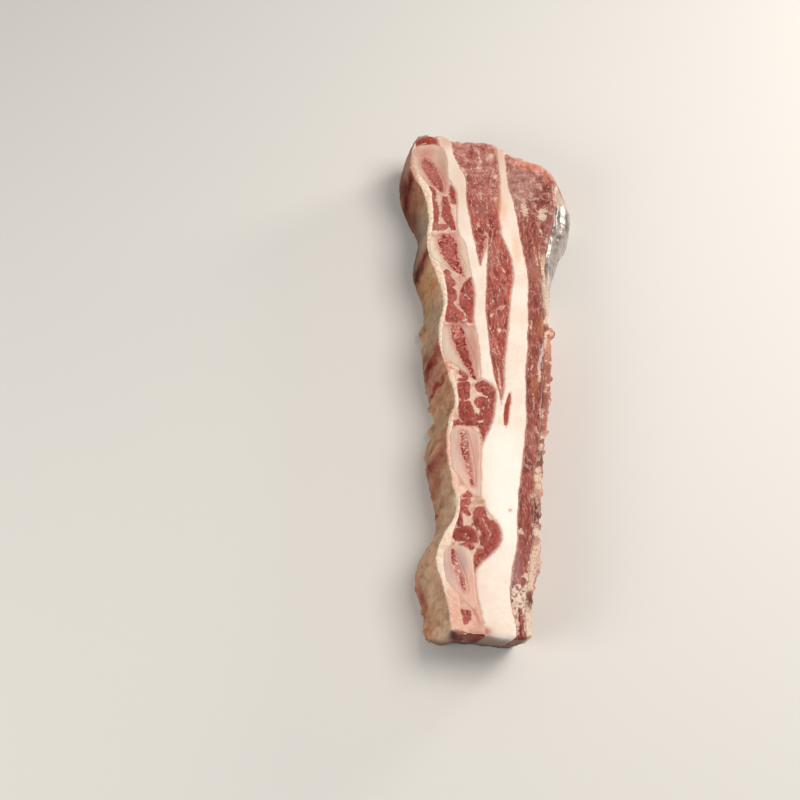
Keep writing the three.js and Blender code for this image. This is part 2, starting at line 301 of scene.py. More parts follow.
# Pale seams and spots of fat in the muscles, read on the upper face.
CONNECTIVE: tuple[Seam | Patch | Streak, ...] = (
    # between the second and third rib
    Seam(((-12.9, 40.4), (-12.6, 36.6), (-13.4, 33.4)), 0.4),
    Seam(((-12.6, 36.6), (-11.4, 34.8), (-10.2, 33)), 0.4),
    Patch(-13.2, 21.6, 1.5, 0.8, 20),
    Seam(((-16.6, 29.6), (-14.4, 27), (-12.8, 24.2)), 0.7),
    # between the third and fourth rib
    Seam(((-6.4, -18.6), (-4.4, -19.6), (-3.3, -22.4), (-4.2, -25.2)), 0.5),
    Streak(((-10, -26, 0.8), (-8.8, -26.4, 1.2), (-8.6, -28.4, 0.4))),
    Patch(-8, -32.1, 1.6, 0.6, 8),
    Seam(((-14.8, -21.4), (-12.4, -20.9)), 0.5),
    Seam(((-17.4, -30.6), (-16, -32.6)), 0.6),
    Seam(((-9.4, -35), (-8, -39), (-7.2, -43)), 0.8),
    # between the fourth and fifth rib
    Seam(((-12.9, -82.8), (-12, -85.4), (-10.8, -89), (-10.3, -92)), 0.5),
    Patch(-10.6, -86, 0.7, 1.9, 8),
    Seam(((-8.8, -79.6), (-7.6, -82), (-6.2, -85), (-5.4, -86.6)), 0.5),
    Seam(((-5.4, -86.6), (-6.8, -90)), 0.25),
    Patch(-16.3, -86.8, 0.4, 0.3),
    Patch(-15.6, -88.4, 0.35, 0.3),
    Streak(((-12.9, -90.8, 0.4), (-11.2, -92.2, 1.3), (-9, -93.6, 0.3))),
    Streak(((-12.6, -93.8, 0.3), (-11, -92, 1.0), (-10.4, -90.4, 0.3))),
    # inner lean
    Patch(4.2, 106, 1.2, 1.2),
    Patch(4.4, 91.2, 0.8, 2.8, -4),
    Patch(-5, 76.6, 0.7, 1.5, 6),
    Patch(0, 76.2, 0.45, 1.9, 8),
    Patch(-3.2, 111.5, 1.4, 0.8, 30),
    Patch(-11, 109, 1.7, 2.6, 10),
    Patch(2.2, 118.4, 1.5, 2.2, -12),
    Seam(((-3.4, 122), (-2.4, 116), (-3.2, 110)), 0.7),
    Seam(((0.4, 64), (1.4, 70.5)), 0.6),
    Seam(((-2.2, 63), (-1.6, 68)), 0.5),
    Seam(((3, 57.4), (4.4, 53), (6.8, 48.2)), 0.6),
    Patch(4.1, 28.2, 1.2, 1.2, 45),
    Patch(4.1, 28.2, 2.3, 0.45, 25),
    Seam(((-2.8, 30.4), (-0.8, 27.6), (0.8, 24.2)), 0.4),
    Seam(((-2.6, 21), (-1.6, 17), (0.4, 11), (2.6, 2.6)), 0.4),
    Patch(2.5, 15.6, 0.7, 1.5, 8),
    Seam(((2, 20), (2.6, 14)), 0.4),
    Streak(((1.0, -2, 0.1), (1.6, -8, 0.3), (1.9, -18, 0.55))),
    Seam(((4.4, 42), (6.4, 38.6)), 0.35),
    # outer lean
    Patch(18.1, 84.6, 1.5, 3.0, 4),
    Patch(27.6, 84.6, 3.2, 1.5, 10),
    Patch(26.6, 81, 2.2, 2.4, 20),
    Patch(25.3, 72, 0.6, 2.6, 6),
    Patch(17.4, 88.4, 0.7, 2.2, -10),
    Seam(((21.6, 62.6), (22.2, 56), (22.8, 50.4)), 0.45),
    Seam(((23.8, 60.4), (24.4, 53), (24.8, 46)), 0.8),
    Seam(((25.2, 46), (25.5, 32), (25.4, 19.5)), 1.0),
    Seam(((25, 14.5), (22.8, 6), (20.4, -2), (19.4, -12)), 1.5),
    Seam(((19.6, 11), (21.6, 7)), 0.3),
    Seam(((18.2, 22), (17.4, 18), (18, 15.6)), 0.5),
    Seam(((15.6, 6), (16.4, 1), (17.2, -1.6), (16.4, -6)), 0.3),
    Seam(((16.6, -18), (17, -21), (16.2, -26)), 0.25),
    Patch(19.3, -27.6, 0.8, 2.8),
    Seam(((16.4, -35.4), (17.6, -39)), 0.9),
    Patch(18.8, -40.6, 1.0, 1.7),
    Patch(18.2, -45.4, 1.1, 1.9, -10),
    Patch(16.8, -51, 0.8, 1.2),
    Patch(16.6, -56.8, 1.1, 1.6),
    Patch(15.6, -60.6, 1.3, 1.9),
    Patch(16, -65, 1.0, 1.8),
    Patch(13.6, -68.6, 1.3, 1.3),
    Patch(15, -72.4, 0.6, 1.4),
    Patch(7.4, -86, 1.4, 1.2),
    Patch(13.4, -86.4, 1.2, 1.5, 20),
    Seam(((12.6, -82), (14.8, -88.4)), 0.5),
    Patch(13.6, -93.4, 1.3, 1.4),
    Patch(12, -97.4, 1.2, 1.9, -16),
    Patch(11.2, -102, 1.4, 1.9, -16),
    Patch(8.8, -106.4, 1.9, 1.2, -10),
    Streak(((11.6, -100, 1.6), (10.4, -106, 1.5), (8.8, -111, 1.6)), crumbly=True),
    Streak(((4.6, -112.4, 2.6), (5.4, -116.6, 3.0), (6, -118.6, 2.0)), crumbly=True),
    Streak(((8, -110.6, 1.0), (8.4, -112.4, 1.0))),
    Streak(((3, -118.4, 1.2), (2.9, -125, 1.0), (2.8, -131, 1.2)), crumbly=True),
    Streak(((7, -119.6, 1.1), (7.9, -124, 1.8), (8.2, -131, 1.6)), crumbly=True),
)

# Bundles of muscle between the ribs, in the pale tissue that wraps them.
BUNDLES: dict[str, tuple[Streak, ...]] = {
    "intercostal_2": (
        Streak(((-28.4, 99, 1.3), (-27, 96, 1.9), (-26.4, 93.6, 1.2))),
        Streak(((-27, 90.4, 1.9), (-26.6, 84, 2.3), (-26.6, 79, 2.0))),
        Streak(((-27.2, 75.4, 1.5), (-23.4, 75, 1.7), (-20.6, 75.4, 0.7))),
        Streak(((-17.2, 99.6, 1.2), (-16.7, 96, 1.9), (-16.2, 90.6, 1.3))),
        Streak(((-20.9, 93, 0.9), (-20.6, 88, 1.6), (-20.2, 83, 2.2), (-18.4, 78, 1.6), (-17, 74.4, 0.8))),
    ),
    "intercostal_3": (
        Streak(((-21, 48.6, 1.0), (-20.2, 47.6, 0.8))),
        Streak(((-20.4, 45, 1.6), (-19.8, 42.6, 2.5), (-20.2, 40.8, 1.5))),
        Streak(((-19.8, 37.2, 2.4), (-19.6, 34.4, 2.5), (-20.4, 31.6, 1.7))),
        Streak(((-20, 28.8, 1.9), (-19, 26.4, 3.0), (-18, 23.6, 3.9), (-16.4, 21.8, 2.5),
                (-13.8, 21.5, 1.2))),
        Streak(((-9.4, 44.4, 1.2), (-10.5, 41.2, 2.5), (-11.5, 36.6, 3.4), (-11.7, 31, 3.6),
                (-10.9, 26.4, 2.7), (-10, 22.2, 1.8))),
    ),
    "intercostal_4": (
        Streak(((-14.4, -4.4, 0.6), (-14.7, -6.8, 2.0), (-14, -8.2, 1.3))),
        Streak(((-16.8, -10.6, 0.6), (-13.8, -10.4, 0.4))),
        Streak(((-16.2, -13.6, 1.5), (-13.6, -13.4, 1.5))),
        Streak(((-15.2, -15, 2.9), (-15, -18.2, 2.5))),
        Streak(((-15, -23.4, 2.5), (-14, -27.6, 3.2), (-13, -30.6, 3.6))),
        Streak(((-19.4, -33, 0.8), (-15, -32.2, 2.0), (-11, -31.8, 2.4))),
        Streak(((-6.6, -14.4, 2.3), (-3.8, -13.8, 2.9), (-3, -17, 2.8), (-2.4, -22, 2.0), (-2.8, -26, 2.4),
                (-4.2, -30, 3.4), (-5.4, -34, 3.2), (-6, -38, 1.8), (-6.6, -42.6, 0.8))),
        Streak(((-8.2, -22.2, 2.1), (-6.6, -22.6, 2.8), (-6, -26, 2.4), (-6.6, -29.6, 2.9))),
    ),
    "intercostal_5": (
        Streak(((-16, -68.8, 0.6), (-14.2, -68.2, 1.3))),
        Streak(((-18.4, -72, 0.9), (-15, -71.4, 1.2))),
        Streak(((-18.2, -74.8, 1.2), (-16.2, -75.2, 1.1))),
        Streak(((-18.6, -77.6, 0.9), (-18.9, -80.6, 1.4), (-18.4, -82.4, 1.0))),
        Streak(((-15.2, -76.6, 0.7), (-14.2, -77.6, 0.3))),
        Streak(((-19.2, -87, 2.6), (-16, -86.6, 3.3), (-13.6, -88, 2.5), (-11.8, -89.6, 1.0))),
        Streak(((-9.9, -76.4, 2.1), (-9.8, -80, 2.7), (-8, -84, 3.8), (-5.4, -86, 5.2), (-5.2, -90, 5.0),
                (-7.4, -94, 3.6), (-10.4, -97.6, 2.4), (-12.8, -101, 1.6), (-13.4, -103.8, 0.7))),
        Streak(((-12.6, -82.6, 0.9), (-11.2, -83.6, 1.6))),
        Streak(((-18, -92, 0.7), (-15.4, -92.6, 1.3), (-13.8, -92.4, 1.0))),
    ),
    "intercostal_6": (
        Streak(((-18.7, -122, 1.2), (-18.2, -124.4, 1.1), (-18.4, -126.2, 0.7))),
        Streak(((-16.7, -122, 1.1), (-16.8, -124.4, 1.1), (-18, -126, 0.7))),
    ),
}

# Changes of tone of the pale tissue in the muscles: x, y, half widths, colour, cover and lean.
PALE_TONES: tuple[Stain, ...] = (
    Stain(-22, 88, 12, 17, "#e4bcab", 0.85),
    Stain(-15, -66, 4, 2.6, "#f5d3bd", 0.95),
    Stain(-17, 38, 8, 14, "#dcb1a0", 0.7),
    Stain(-10, 44, 8, 6, "#d09c8b", 0.6),
    Stain(-14, -9.8, 7, 3, "#e9c4b0", 0.7),
    Stain(-10.4, -19, 3.4, 5, "#ecc8b4", 0.8),
    Stain(-15, -80.4, 3.4, 3, "#e9c4b0", 0.8),
    Stain(5, -116, 7, 14, "#f0dcc8", 0.7),
    Stain(-15, -34, 7, 1.6, "#eba992", 0.85),
    Stain(-15, -72, 6, 8, "#ddb5a2", 0.6),
    Stain(-9, -71.4, 1.6, 1.6, "#bd925f", 0.95),
    Stain(-14, -122, 12, 12, "#e3b29d", 0.9),
    Stain(-13.2, -122.6, 0.7, 6, "#c47c6c", 0.8, -0.29),
    Stain(27, 80, 6, 12, "#d8bdac", 0.9),
    Stain(19, 84, 4, 8, "#dbbdaa", 0.9),
    Stain(22, 2, 3, 12, "#cfc3bb", 0.8),
    Stain(25.4, 32, 1.6, 14, "#dcc9bb", 0.8),
)

# The marrow of the five ribs, the far one first.
CORES = (
    Streak(((-30.2, 116, 1.4), (-28.4, 112, 2.5), (-26, 106.4, 2.6), (-24, 101.4, 2.1), (-22.8, 98, 1.2))),
    Streak(((-20.6, 66.6, 3.9), (-20, 63.5, 4.2), (-18.8, 58, 3.5), (-16.8, 53, 2.5), (-14.2, 46.5, 1.0))),
    Streak(((-17.4, 16.6, 2.4), (-16.6, 12, 2.9), (-15.2, 6, 2.7), (-13.6, 1, 2.0), (-11.8, -4, 1.2),
            (-9.8, -10.5, 0.6))),
    Streak(((-15.8, -38.4, 1.2), (-15.8, -43, 1.7), (-15, -50, 1.4), (-13.6, -57, 1.0), (-12.4, -64, 0.4))),
    Streak(((-21.9, -94.6, 0.7), (-21.4, -98, 1.1), (-20, -103, 1.2), (-18.6, -108, 0.9),
            (-17.4, -112, 0.3))),
)

# Changes of tone of the muscles on the upper face: x, y, half widths, colour, cover.
MUSCLE_TONES: tuple[Stain, ...] = (
    Stain(-3, 112, 13, 13, "#ae746b", 0.62),
    Stain(0, 96, 9, 7, "#ab6b62", 0.5),
    Stain(17, 101, 10, 12, "#b78a80", 0.75),
    Stain(14, 92, 5, 8, "#a97b72", 0.6),
    Stain(28, 98.5, 2.8, 5.6, "#8a4744", 0.7),
    Stain(25.4, 91, 4.5, 3.2, "#713430", 0.9),
    Stain(31, 84, 2.2, 9, "#764841", 0.55),
    Stain(12.6, 118, 4.4, 4.4, "#cd9484", 0.85),
    Stain(19.5, 115, 5.4, 5, "#db8770", 0.9),
    Stain(26, 111.6, 4.4, 4, "#db8b76", 0.9),
    Stain(31, 106.6, 2.8, 5, "#ce7c6a", 0.85),
    Stain(6.4, 88, 1.6, 9, "#d88458", 0.55),
    Stain(0.6, 55, 1.8, 9, "#bb8377", 0.55),
    Stain(8.6, 34, 1.3, 10, "#b9553c", 0.65),
    Stain(10, 50, 1.4, 6, "#a94c3e", 0.5),
    Stain(2.2, 73, 5, 3, "#9a4b44", 0.4),
    Stain(-3, 85.4, 4.4, 5, "#b3736a", 0.6),
    Stain(5, 65.6, 2.4, 5, "#b96f61", 0.6),
    Stain(-13, 124.6, 4.6, 4, "#cc8f7f", 0.9),
    Stain(2, 119, 4, 5, "#c28577", 0.6),
    Stain(22.6, 52, 2.2, 11, "#b87c5e", 0.5),
    Stain(22.6, 17, 3.2, 6.5, "#b06d4c", 0.75),
    Stain(17.4, -14, 1.6, 8, "#a8664a", 0.6),
    Stain(-26.4, 86, 3, 14, "#9f584d", 0.8),
    Stain(-24, 75.5, 3.4, 2.6, "#b57d70", 0.7),
    Stain(2, 35, 3, 6, "#8f4a44", 0.6),
    Stain(3, 8, 3, 6, "#b65a4b", 0.5),
    Stain(20, 50, 2.4, 6, "#b4796c", 0.55),
    Stain(14, -42, 2.4, 8, "#ad736b", 0.5),
    Stain(-19.5, 82, 3, 12, "#a14c42", 0.7),
    Stain(-16.6, 96, 2.2, 7, "#a3463b", 0.8),
    Stain(-19.5, 46, 3, 4, "#b06f66", 0.6),
    Stain(-19.5, 35, 3, 4, "#a9635b", 0.4),
    Stain(-16.6, -87, 5, 3.4, "#7f2e27", 0.8),
    Stain(-7, -88, 6, 9, "#8e3b33", 0.5),
    Stain(-15, -20, 4, 12, "#93443b", 0.5),
    Stain(-14.4, -28, 4, 4, "#833028", 0.6),
    Stain(-4.6, -24, 4, 12, "#93443b", 0.6),
    Stain(-11, 29, 3, 6, "#8d3a33", 0.5),
    Stain(4.4, -115, 4, 5, "#6e2a20", 0.85),
    Stain(9, -118, 2, 3.8, "#64231d", 0.95),
    Stain(4, -125, 1, 6, "#7e2620", 0.8),
    Stain(4.6, -26.6, 2.4, 10, "#a23d31", 0.85),
    Stain(4, -101, 2.2, 10, "#b98a86", 0.6),
    Stain(4.6, -104, 2.4, 8, "#9f6a66", 0.55),
    Stain(-30, 128, 5, 4, "#8a3129", 0.85),
    Stain(-25.6, 127.2, 3, 3.4, "#a0493c", 0.85),
)

# Changes of tone of the struts in the spongy bone: x, y, half widths, colour, cover and lean.
STRUT_TONES: tuple[Stain, ...] = (
    Stain(-27.4, 109, 6, 14, "#bd7468", 1.0, -0.5),
    Stain(-19.5, 60, 5, 13, "#bf766c", 0.9),
    Stain(-17.4, 17, 3, 3.4, "#e29a80", 0.9),
    Stain(-17, 12, 3, 3.6, "#d8937f", 0.85),
    Stain(-14, 2, 3.4, 7.6, "#903f37", 0.9, -0.3),
    Stain(-15, -41, 2, 6, "#f6cdb8", 0.86),
    Stain(-13.6, -55, 3.4, 11, "#f0b7a3", 0.88),
    Stain(-19.8, -103, 3.4, 12, "#f3c1ae", 0.88),
)

# Tones and painted shade on the near end, which faces the camera: x, z, half widths, colour, cover and lean.
# Its colours are darker than the tissue's own: painted shade over the whole end.
NEAR_TONES_AND_SHADE: tuple[Stain, ...] = (
    Stain(-30.5, 19, 5, 12, "#cbae8f", 0.95, 0.1),
    # painted shade, darker at the foot of the chest side
    Stain(-30, 4, 5, 7, "#6c5544", 0.7),
    Stain(-20, 14, 7, 22, "#5e2119", 1.0),
    Stain(-22, 24, 2.4, 7, "#4e0704", 1.0),
    Stain(-24.5, 10, 3.2, 10, "#290403", 1.0),
    Stain(-17.6, 18, 1.4, 10, "#8a4434", 0.9, 0.1),
    Stain(-12.6, 23, 2.6, 9, "#84160c", 1.0, 0.15),
    Stain(-14.6, 11, 2.0, 10, "#560a06", 1.0, 0.25),
    # painted shadow along the foot of the end
    Stain(-22, 1, 9, 8, "#220a07", 0.95),
    Stain(2.8, 8, 4.6, 17, "#3c0604", 1.0, 0.18),
    Stain(4.6, 25, 1.7, 6, "#6c1510", 0.9),
    Stain(8.6, 24, 1.4, 6, "#e6d2bb", 0.9),
)

# The same where the broad seam of fat comes out there: its cream fat is painted grey-brown as shade, darkest
# at the foot.
NEAR_SEAM_TONES_AND_SHADE: tuple[Stain, ...] = (
    Stain(-5, 16, 20, 11, "#877060", 1.0),
    Stain(-8, 3, 20, 10, "#48362c", 1.0),
    Stain(-8.6, 22, 1.8, 6, "#a86a55", 0.7, 0.2),
    # painted highlight along the upper edge
    Stain(-2, 29, 6.4, 5, "#fff8ee", 1.0, -0.3),
)

# The same where the chest rim comes out there, its foot darkened as painted shade.
NEAR_RIM_TONES_AND_SHADE: tuple[Stain, ...] = (
    Stain(-30, 20, 10, 14, "#d3b798", 1.0, 0.1),
    Stain(-27, 26, 5, 5, "#e9d5bd", 0.8),
    # painted shade at the foot
    Stain(-31, 3, 10, 8, "#7a604d", 0.8),
    Stain(-19.5, 14, 6.6, 24, "#5a1c15", 1.0, 0.18),
    Stain(-22.5, 24, 2.2, 6, "#4e0704", 0.9),
    Stain(-20.4, 19, 0.8, 9, "#8f5044", 0.8, 0.2),
)


# Finishes

# How strongly tissue and its juice bend light, and how rough the film of juice is.
TISSUE_IOR = 1.4
JUICE_IOR = 1.36
JUICE_ROUGHNESS = 0.16


class Nodes:
    """A material's node tree, its coordinates in millimetres and the ways in which raw tissue is coloured.

    A colour is a socket, or an sRGB hex value.
    """

    def __init__(self, tree: bpy.types.NodeTree) -> None:
        """Empties the tree and turns Object coordinates to millimetres.

        Args:
            tree: the material's node tree.
        """
        self.tree = tree
        tree.nodes.clear()
        metres = self.add("TexCoord", out="Object")
        self.mm = self.add("VectorMath", {0: metres, 3: 1 / MM}, operation="SCALE")

    def add(self, kind: str, inputs: dict | None = None, out: int | str = 0, **settings: object) -> Socket:
        """Adds a shader node, sets it up and links it.

        Args:
            kind: the node's type name after ShaderNode.
            inputs: sockets, colours or values for its inputs, by name or number.
            out: which output to hand back.
            settings: the node's own properties.
        Returns:
            The chosen output socket.
        """
        made = self.tree.nodes.new(f"ShaderNode{kind}")
        for name, value in settings.items():
            setattr(made, name, value)
        for key, value in (inputs or {}).items():
            if isinstance(value, Socket):
                self.tree.links.new(value, made.inputs[key])
            else:
                made.inputs[key].default_value = linear(value) if isinstance(value, str) else value
        return made.outputs[out]

    def bent(self, scale: float, reach: float) -> Socket:
        """Makes coordinates that wander as soft tissue does.

        Args:
            scale: bends per millimetre.
            reach: how far they stray, in millimetres.
        Returns:
            The coordinates.
        """
        wander = self.add("TexNoise", {"Vector": self.mm, "Scale": scale, "Detail": 2.0}, "Color")
        shift = self.add("VectorMath", {0: wander, 3: reach}, operation="SCALE")
        return self.add("VectorMath", {0: self.mm, 1: shift}, operation="ADD")

    def ragged(self, attribute: str, size: float, reach: float, low: float, high: float) -> Socket:
        """Turns a distance attribute to a mask with a torn edge, in millimetres throughout.

        Args:
            attribute: name of the distance.
            size: width of the tears.
            reach: how far the tears go.
            low: distance where the mask is still full.
            high: distance where it has faded.
        Returns:
            The mask.
        """
        tear = self.add("TexNoise", {"Vector": self.mm, "Scale": 1 / size, "Detail": 3.0})
        off = self.add("Math", {0: tear, 1: 0.5}, operation="SUBTRACT")
        far = self.add("Math", {0: off, 1: 2 * reach}, operation="MULTIPLY")
        distance = self.add("Attribute", out="Fac", attribute_name=attribute)
        total = self.add("Math", {0: distance, 1: far}, operation="ADD")
        span = {0: total, 1: low, 2: high, 3: 1.0, 4: 0.0}
        return self.add("MapRange", span, interpolation_type="SMOOTHSTEP")

    def tinted(self, colour: Colour, attribute: str = "tone") -> Socket:
        """Lays one of the piece's changes of tone over a colour; some of them are painted shade and light.

        Args:
            colour: the colour below.
            attribute: name of the tone, with its cover in alpha.
        Returns:
            The toned colour.
        """
        tone = self.add("Attribute", out="Color", attribute_name=attribute)
        cover = self.add("Attribute", out="Alpha", attribute_name=attribute)
        return self.add("Mix", {0: cover, 6: colour, 7: tone}, 2, data_type="RGBA")

    def laid(
        self, below: Colour, above: Colour, pattern: Socket, low: float, high: float, most: float = 1.0,
        within: Socket | None = None,
    ) -> Socket:
        """Lays a colour over another where a pattern rises, or falls where high is the lower number.

        Args:
            below: the colour below.
            above: the colour on top.
            pattern: the pattern.
            low: its value where the colour on top starts to show.
            high: its value where that shows most.
            most: the cover there.
            within: a share that thins the cover.
        Returns:
            The colour of both.
        """
        share = self.add("MapRange", {0: pattern, 1: low, 2: high, 4: most}, interpolation_type="SMOOTHSTEP")
        if within is not None:
            share = self.add("Math", {0: share, 1: within}, operation="MULTIPLY")
        return self.add("Mix", {0: share, 6: below, 7: above}, 2, data_type="RGBA")

    def thinly(self, below: Colour, above: Colour, mask: Socket, strength: float) -> Socket:
        """Lays a colour thinly over another.

        Args:
            below: the colour below.
            above: the colour on top.
            mask: where that lies.
            strength: its cover where the mask is full.
        Returns:
            The colour of both.
        """
        share = self.add("Math", {0: mask, 1: strength}, operation="MULTIPLY")
        return self.add("Mix", {0: share, 6: below, 7: above}, 2, data_type="RGBA")

    def shaded(
        self, colour: Colour, pattern: Socket, low: float, high: float, dark: float, light: float,
        share: float = 0.9,
    ) -> Socket:
        """Darkens and lightens a colour with a pattern.

        Args:
            colour: the colour.
            pattern: the pattern.
            low: its value where the colour is darkest.
            high: its value where that is lightest.
            dark: the factor at its darkest.
            light: the factor at its lightest.
            share: how much of the change shows.
        Returns:
            The shaded colour.
        """
        shade = self.add("MapRange", {0: pattern, 1: low, 2: high, 3: dark, 4: light})
        return self.add("Mix", {0: share, 6: colour, 7: shade}, 2, data_type="RGBA", blend_type="MULTIPLY")


@dataclass(frozen=True)
class Surface:
    """What a finish gives its shader: colour, sheen from 0 (wettest) to 1, and relief with its depth."""

    colour: Socket
    sheen: Socket
    height: Socket
    depth_mm: float


@dataclass(frozen=True)
class Finish:
    """What all finishes share: moist tissue with millimetre patterns, inner light and a wet film.

    Roughness goes from its wettest to its driest places, and wet is the cover of the film of juice.
    """

    name: str
    roughness: tuple[float, float] = (0.34, 0.5)
    specular: float = 0.5
    subsurface: float = 0.12
    radius_mm: Triple = (1.2, 0.5, 0.3)
    wet: float = 0.15

    def surface(self, nodes: Nodes) -> Surface:
        """Makes the colour and relief. Each finish has its own way."""
        raise NotImplementedError

    def material(self) -> bpy.types.Material:
        """Builds the material round the finish's surface.

        Returns:
            The finished material.
        """
        material = bpy.data.materials.new(self.name)
        material.use_nodes = True
        nodes = Nodes(material.node_tree)
        made = self.surface(nodes)
        low, high = self.roughness
        rough = nodes.add("MapRange", {0: made.sheen, 3: low, 4: high})
        bump = nodes.add("Bump", {"Strength": 1.0, "Distance": made.depth_mm * MM, "Height": made.height})
        shader = nodes.add("BsdfPrincipled", {
            "Base Color": made.colour, "Roughness": rough, "Normal": bump, "IOR": TISSUE_IOR,
            "Specular IOR Level": self.specular, "Subsurface Weight": self.subsurface,
            "Subsurface Radius": self.radius_mm, "Subsurface Scale": MM,
            "Coat Weight": self.wet, "Coat Roughness": JUICE_ROUGHNESS, "Coat IOR": JUICE_IOR,
        })
        output = nodes.tree.nodes.new("ShaderNodeOutputMaterial")
        nodes.tree.links.new(shader, output.inputs["Surface"])
        return material


@dataclass(frozen=True)
class BeefMuscle(Finish):
    """Raw beef cut by a saw: brownish red, mottled, with the grain of its bundles and fine marbling.

    Bundle_mm is their width and length, waver_mm how far they bend, marbling how much fat lies in them,
    web how strongly its threads show, tear_mm the size and reach of tears along pale seams, border how
    strongly fat edges the muscle, and past crosscut_from, along the strip, the cut crosses the bundles.
    """

    dark: str = "#8a3d35"
    mid: str = "#a6534a"
    bright: str = "#c0786d"
    fat: str = "#e2c3ae"
    thread: str = "#cf9a8a"
    veil: str = "#cda79b"
    bundle_mm: tuple[float, float] = (1.0, 2.6)
    waver_mm: float = 4.5
    marbling: float = 0.5
    web: float = 0.8
    tear_mm: tuple[float, float] = (1.3, 0.7)
    crosscut_from: float = 400.0
    border: float = 0.5
    specular: float = 0.12
    wet: float = 0.1

    def marbled(self, nodes: Nodes, bundles: Socket, bent: Socket) -> Socket:
        """Makes the threads of fat that lie between bundles, so they follow the grain, and the flecks.

        Args:
            nodes: where the nodes go.
            bundles: coordinates stretched along the bundles.
            bent: coordinates that wander.
        Returns:
            Where there is fat.
        """
        plies = nodes.add("TexNoise", {"Vector": bundles, "Scale": 0.42, "Detail": 2.5, "Roughness": 0.55})
        off = nodes.add("Math", {0: plies, 1: 0.5}, operation="SUBTRACT")
        near = nodes.add("Math", {0: off}, operation="ABSOLUTE")
        span = {0: near, 1: 0.004, 2: 0.022, 3: 1.0, 4: 0.0}
        line = nodes.add("MapRange", span, interpolation_type="SMOOTHSTEP")
        where = nodes.add("TexNoise", {"Vector": bent, "Scale": 0.28, "Detail": 2.0})
        span = {0: where, 1: 0.64 - 0.28 * self.marbling, 2: 0.72 - 0.24 * self.marbling}
        there = nodes.add("MapRange", span, interpolation_type="SMOOTHSTEP")
        threads = nodes.add("Math", {0: line, 1: there}, operation="MULTIPLY")
        some = nodes.add("Math", {0: threads, 1: self.web}, operation="MULTIPLY")
        spots = nodes.add("TexNoise", {"Vector": bundles, "Scale": 0.8, "Detail": 2.0})
        span = {0: spots, 1: 0.71 - 0.07 * self.marbling, 2: 0.79 - 0.07 * self.marbling}
        flecks = nodes.add("MapRange", span, interpolation_type="SMOOTHSTEP")
        return nodes.add("Math", {0: some, 1: flecks}, operation="MAXIMUM")

    def surface(self, nodes: Nodes) -> Surface:
        """Makes red bundles, their stains, marbling and pale seams.

        Args:
            nodes: where the nodes go.
        Returns:
            What the shader reads.
        """
        bent = nodes.bent(0.13, self.waver_mm)
        across, along = self.bundle_mm
        bundles = nodes.add("Mapping", {"Vector": bent, "Scale": (1 / across, 1 / along, 0.4 / across)})
        place = nodes.add("SeparateXYZ", {0: nodes.mm}, "Y")
        far = nodes.add("MapRange", {0: place, 1: self.crosscut_from, 2: self.crosscut_from + 12})
        lengthwise = nodes.add("TexNoise", {"Vector": bundles, "Scale": 0.36, "Detail": 2.0})
        crossed = nodes.add("TexNoise", {"Vector": nodes.mm, "Scale": 0.34, "Detail": 3.0, "Roughness": 0.6})
        mottle = nodes.add("Mix", {0: far, 2: lengthwise, 3: crossed})
        grain = nodes.add("TexNoise", {"Vector": bundles, "Scale": 0.9, "Detail": 3.0, "Roughness": 0.6})
        red = nodes.laid(self.dark, self.mid, mottle, 0.34, 0.52)
        red = nodes.laid(red, self.bright, grain, 0.46, 0.72)
        # the grain stays visible where a stain changes the tone
        toned = nodes.tinted(red)
        toned = nodes.laid(toned, self.veil, mottle, 0.52, 0.64, 0.62, far)
        toned = nodes.laid(toned, self.dark, mottle, 0.46, 0.36, 0.45, far)
        rough = nodes.add("Math", {0: mottle, 1: grain}, operation="ADD")
        toned = nodes.shaded(toned, rough, 0.74, 1.26, 0.8, 1.2, 0.75)
        marbled = self.marbled(nodes, bundles, bent)
        size, reach = self.tear_mm
        pale = nodes.ragged("pale_mm", size, reach, -0.35, 0.35)
        fatty = nodes.add("Math", {0: marbled, 1: pale}, operation="MAXIMUM")
        cream = nodes.add("TexNoise", {"Vector": nodes.mm, "Scale": 0.45, "Detail": 3.0})
        creamy = nodes.tinted(nodes.laid(self.thread, self.fat, cream, 0.36, 0.62), "pale_tone")
        creamy = nodes.shaded(creamy, cream, 0.3, 0.7, 0.84, 1.08)
        toned = nodes.add("Mix", {0: fatty, 6: toned, 7: creamy}, 2, data_type="RGBA")
        border = nodes.ragged("edge_mm", 1.5, 0.75, 0.1, 0.75)
        toned = nodes.thinly(toned, creamy, border, self.border)
        lift = nodes.add("Math", {0: fatty, 1: 0.6, 2: grain}, operation="MULTIPLY_ADD")
        return Surface(toned, grain, lift, 0.25)


@dataclass(frozen=True)
class RawFat(Finish):
    """Raw beef fat: dense cream-white, smooth from the saw, with faint lobules and pink at the meat."""

    pale: str = "#f5e6d8"
    warm: str = "#f0dccb"
    pink: str = "#dc9f8b"
    lobule_mm: float = 3.4

    def surface(self, nodes: Nodes) -> Surface:
        """Makes cream fat with pink walls round its lobules and a blush along the meat.

        Args:
            nodes: where the nodes go.
        Returns:
            What the shader reads.
        """
        broad = nodes.add("TexNoise", {"Vector": nodes.mm, "Scale": 0.1, "Detail": 4.0, "Roughness": 0.6})
        body = nodes.laid(self.pale, self.warm, broad, 0.36, 0.66)
        lobules = {"Vector": nodes.mm, "Scale": 1 / self.lobule_mm}
        walls = nodes.add("TexVoronoi", lobules, "Distance", feature="DISTANCE_TO_EDGE")
        body = nodes.tinted(nodes.laid(body, self.pink, walls, 0.07, 0.0, 0.07))
        blush = nodes.ragged("edge_mm", 1.3, 0.8, -0.15, 0.75)
        body = nodes.thinly(body, self.pink, blush, 0.62)
        fine = nodes.add("TexNoise", {"Vector": nodes.mm, "Scale": 0.7, "Detail": 4.0})
        return Surface(body, fine, fine, 0.12)


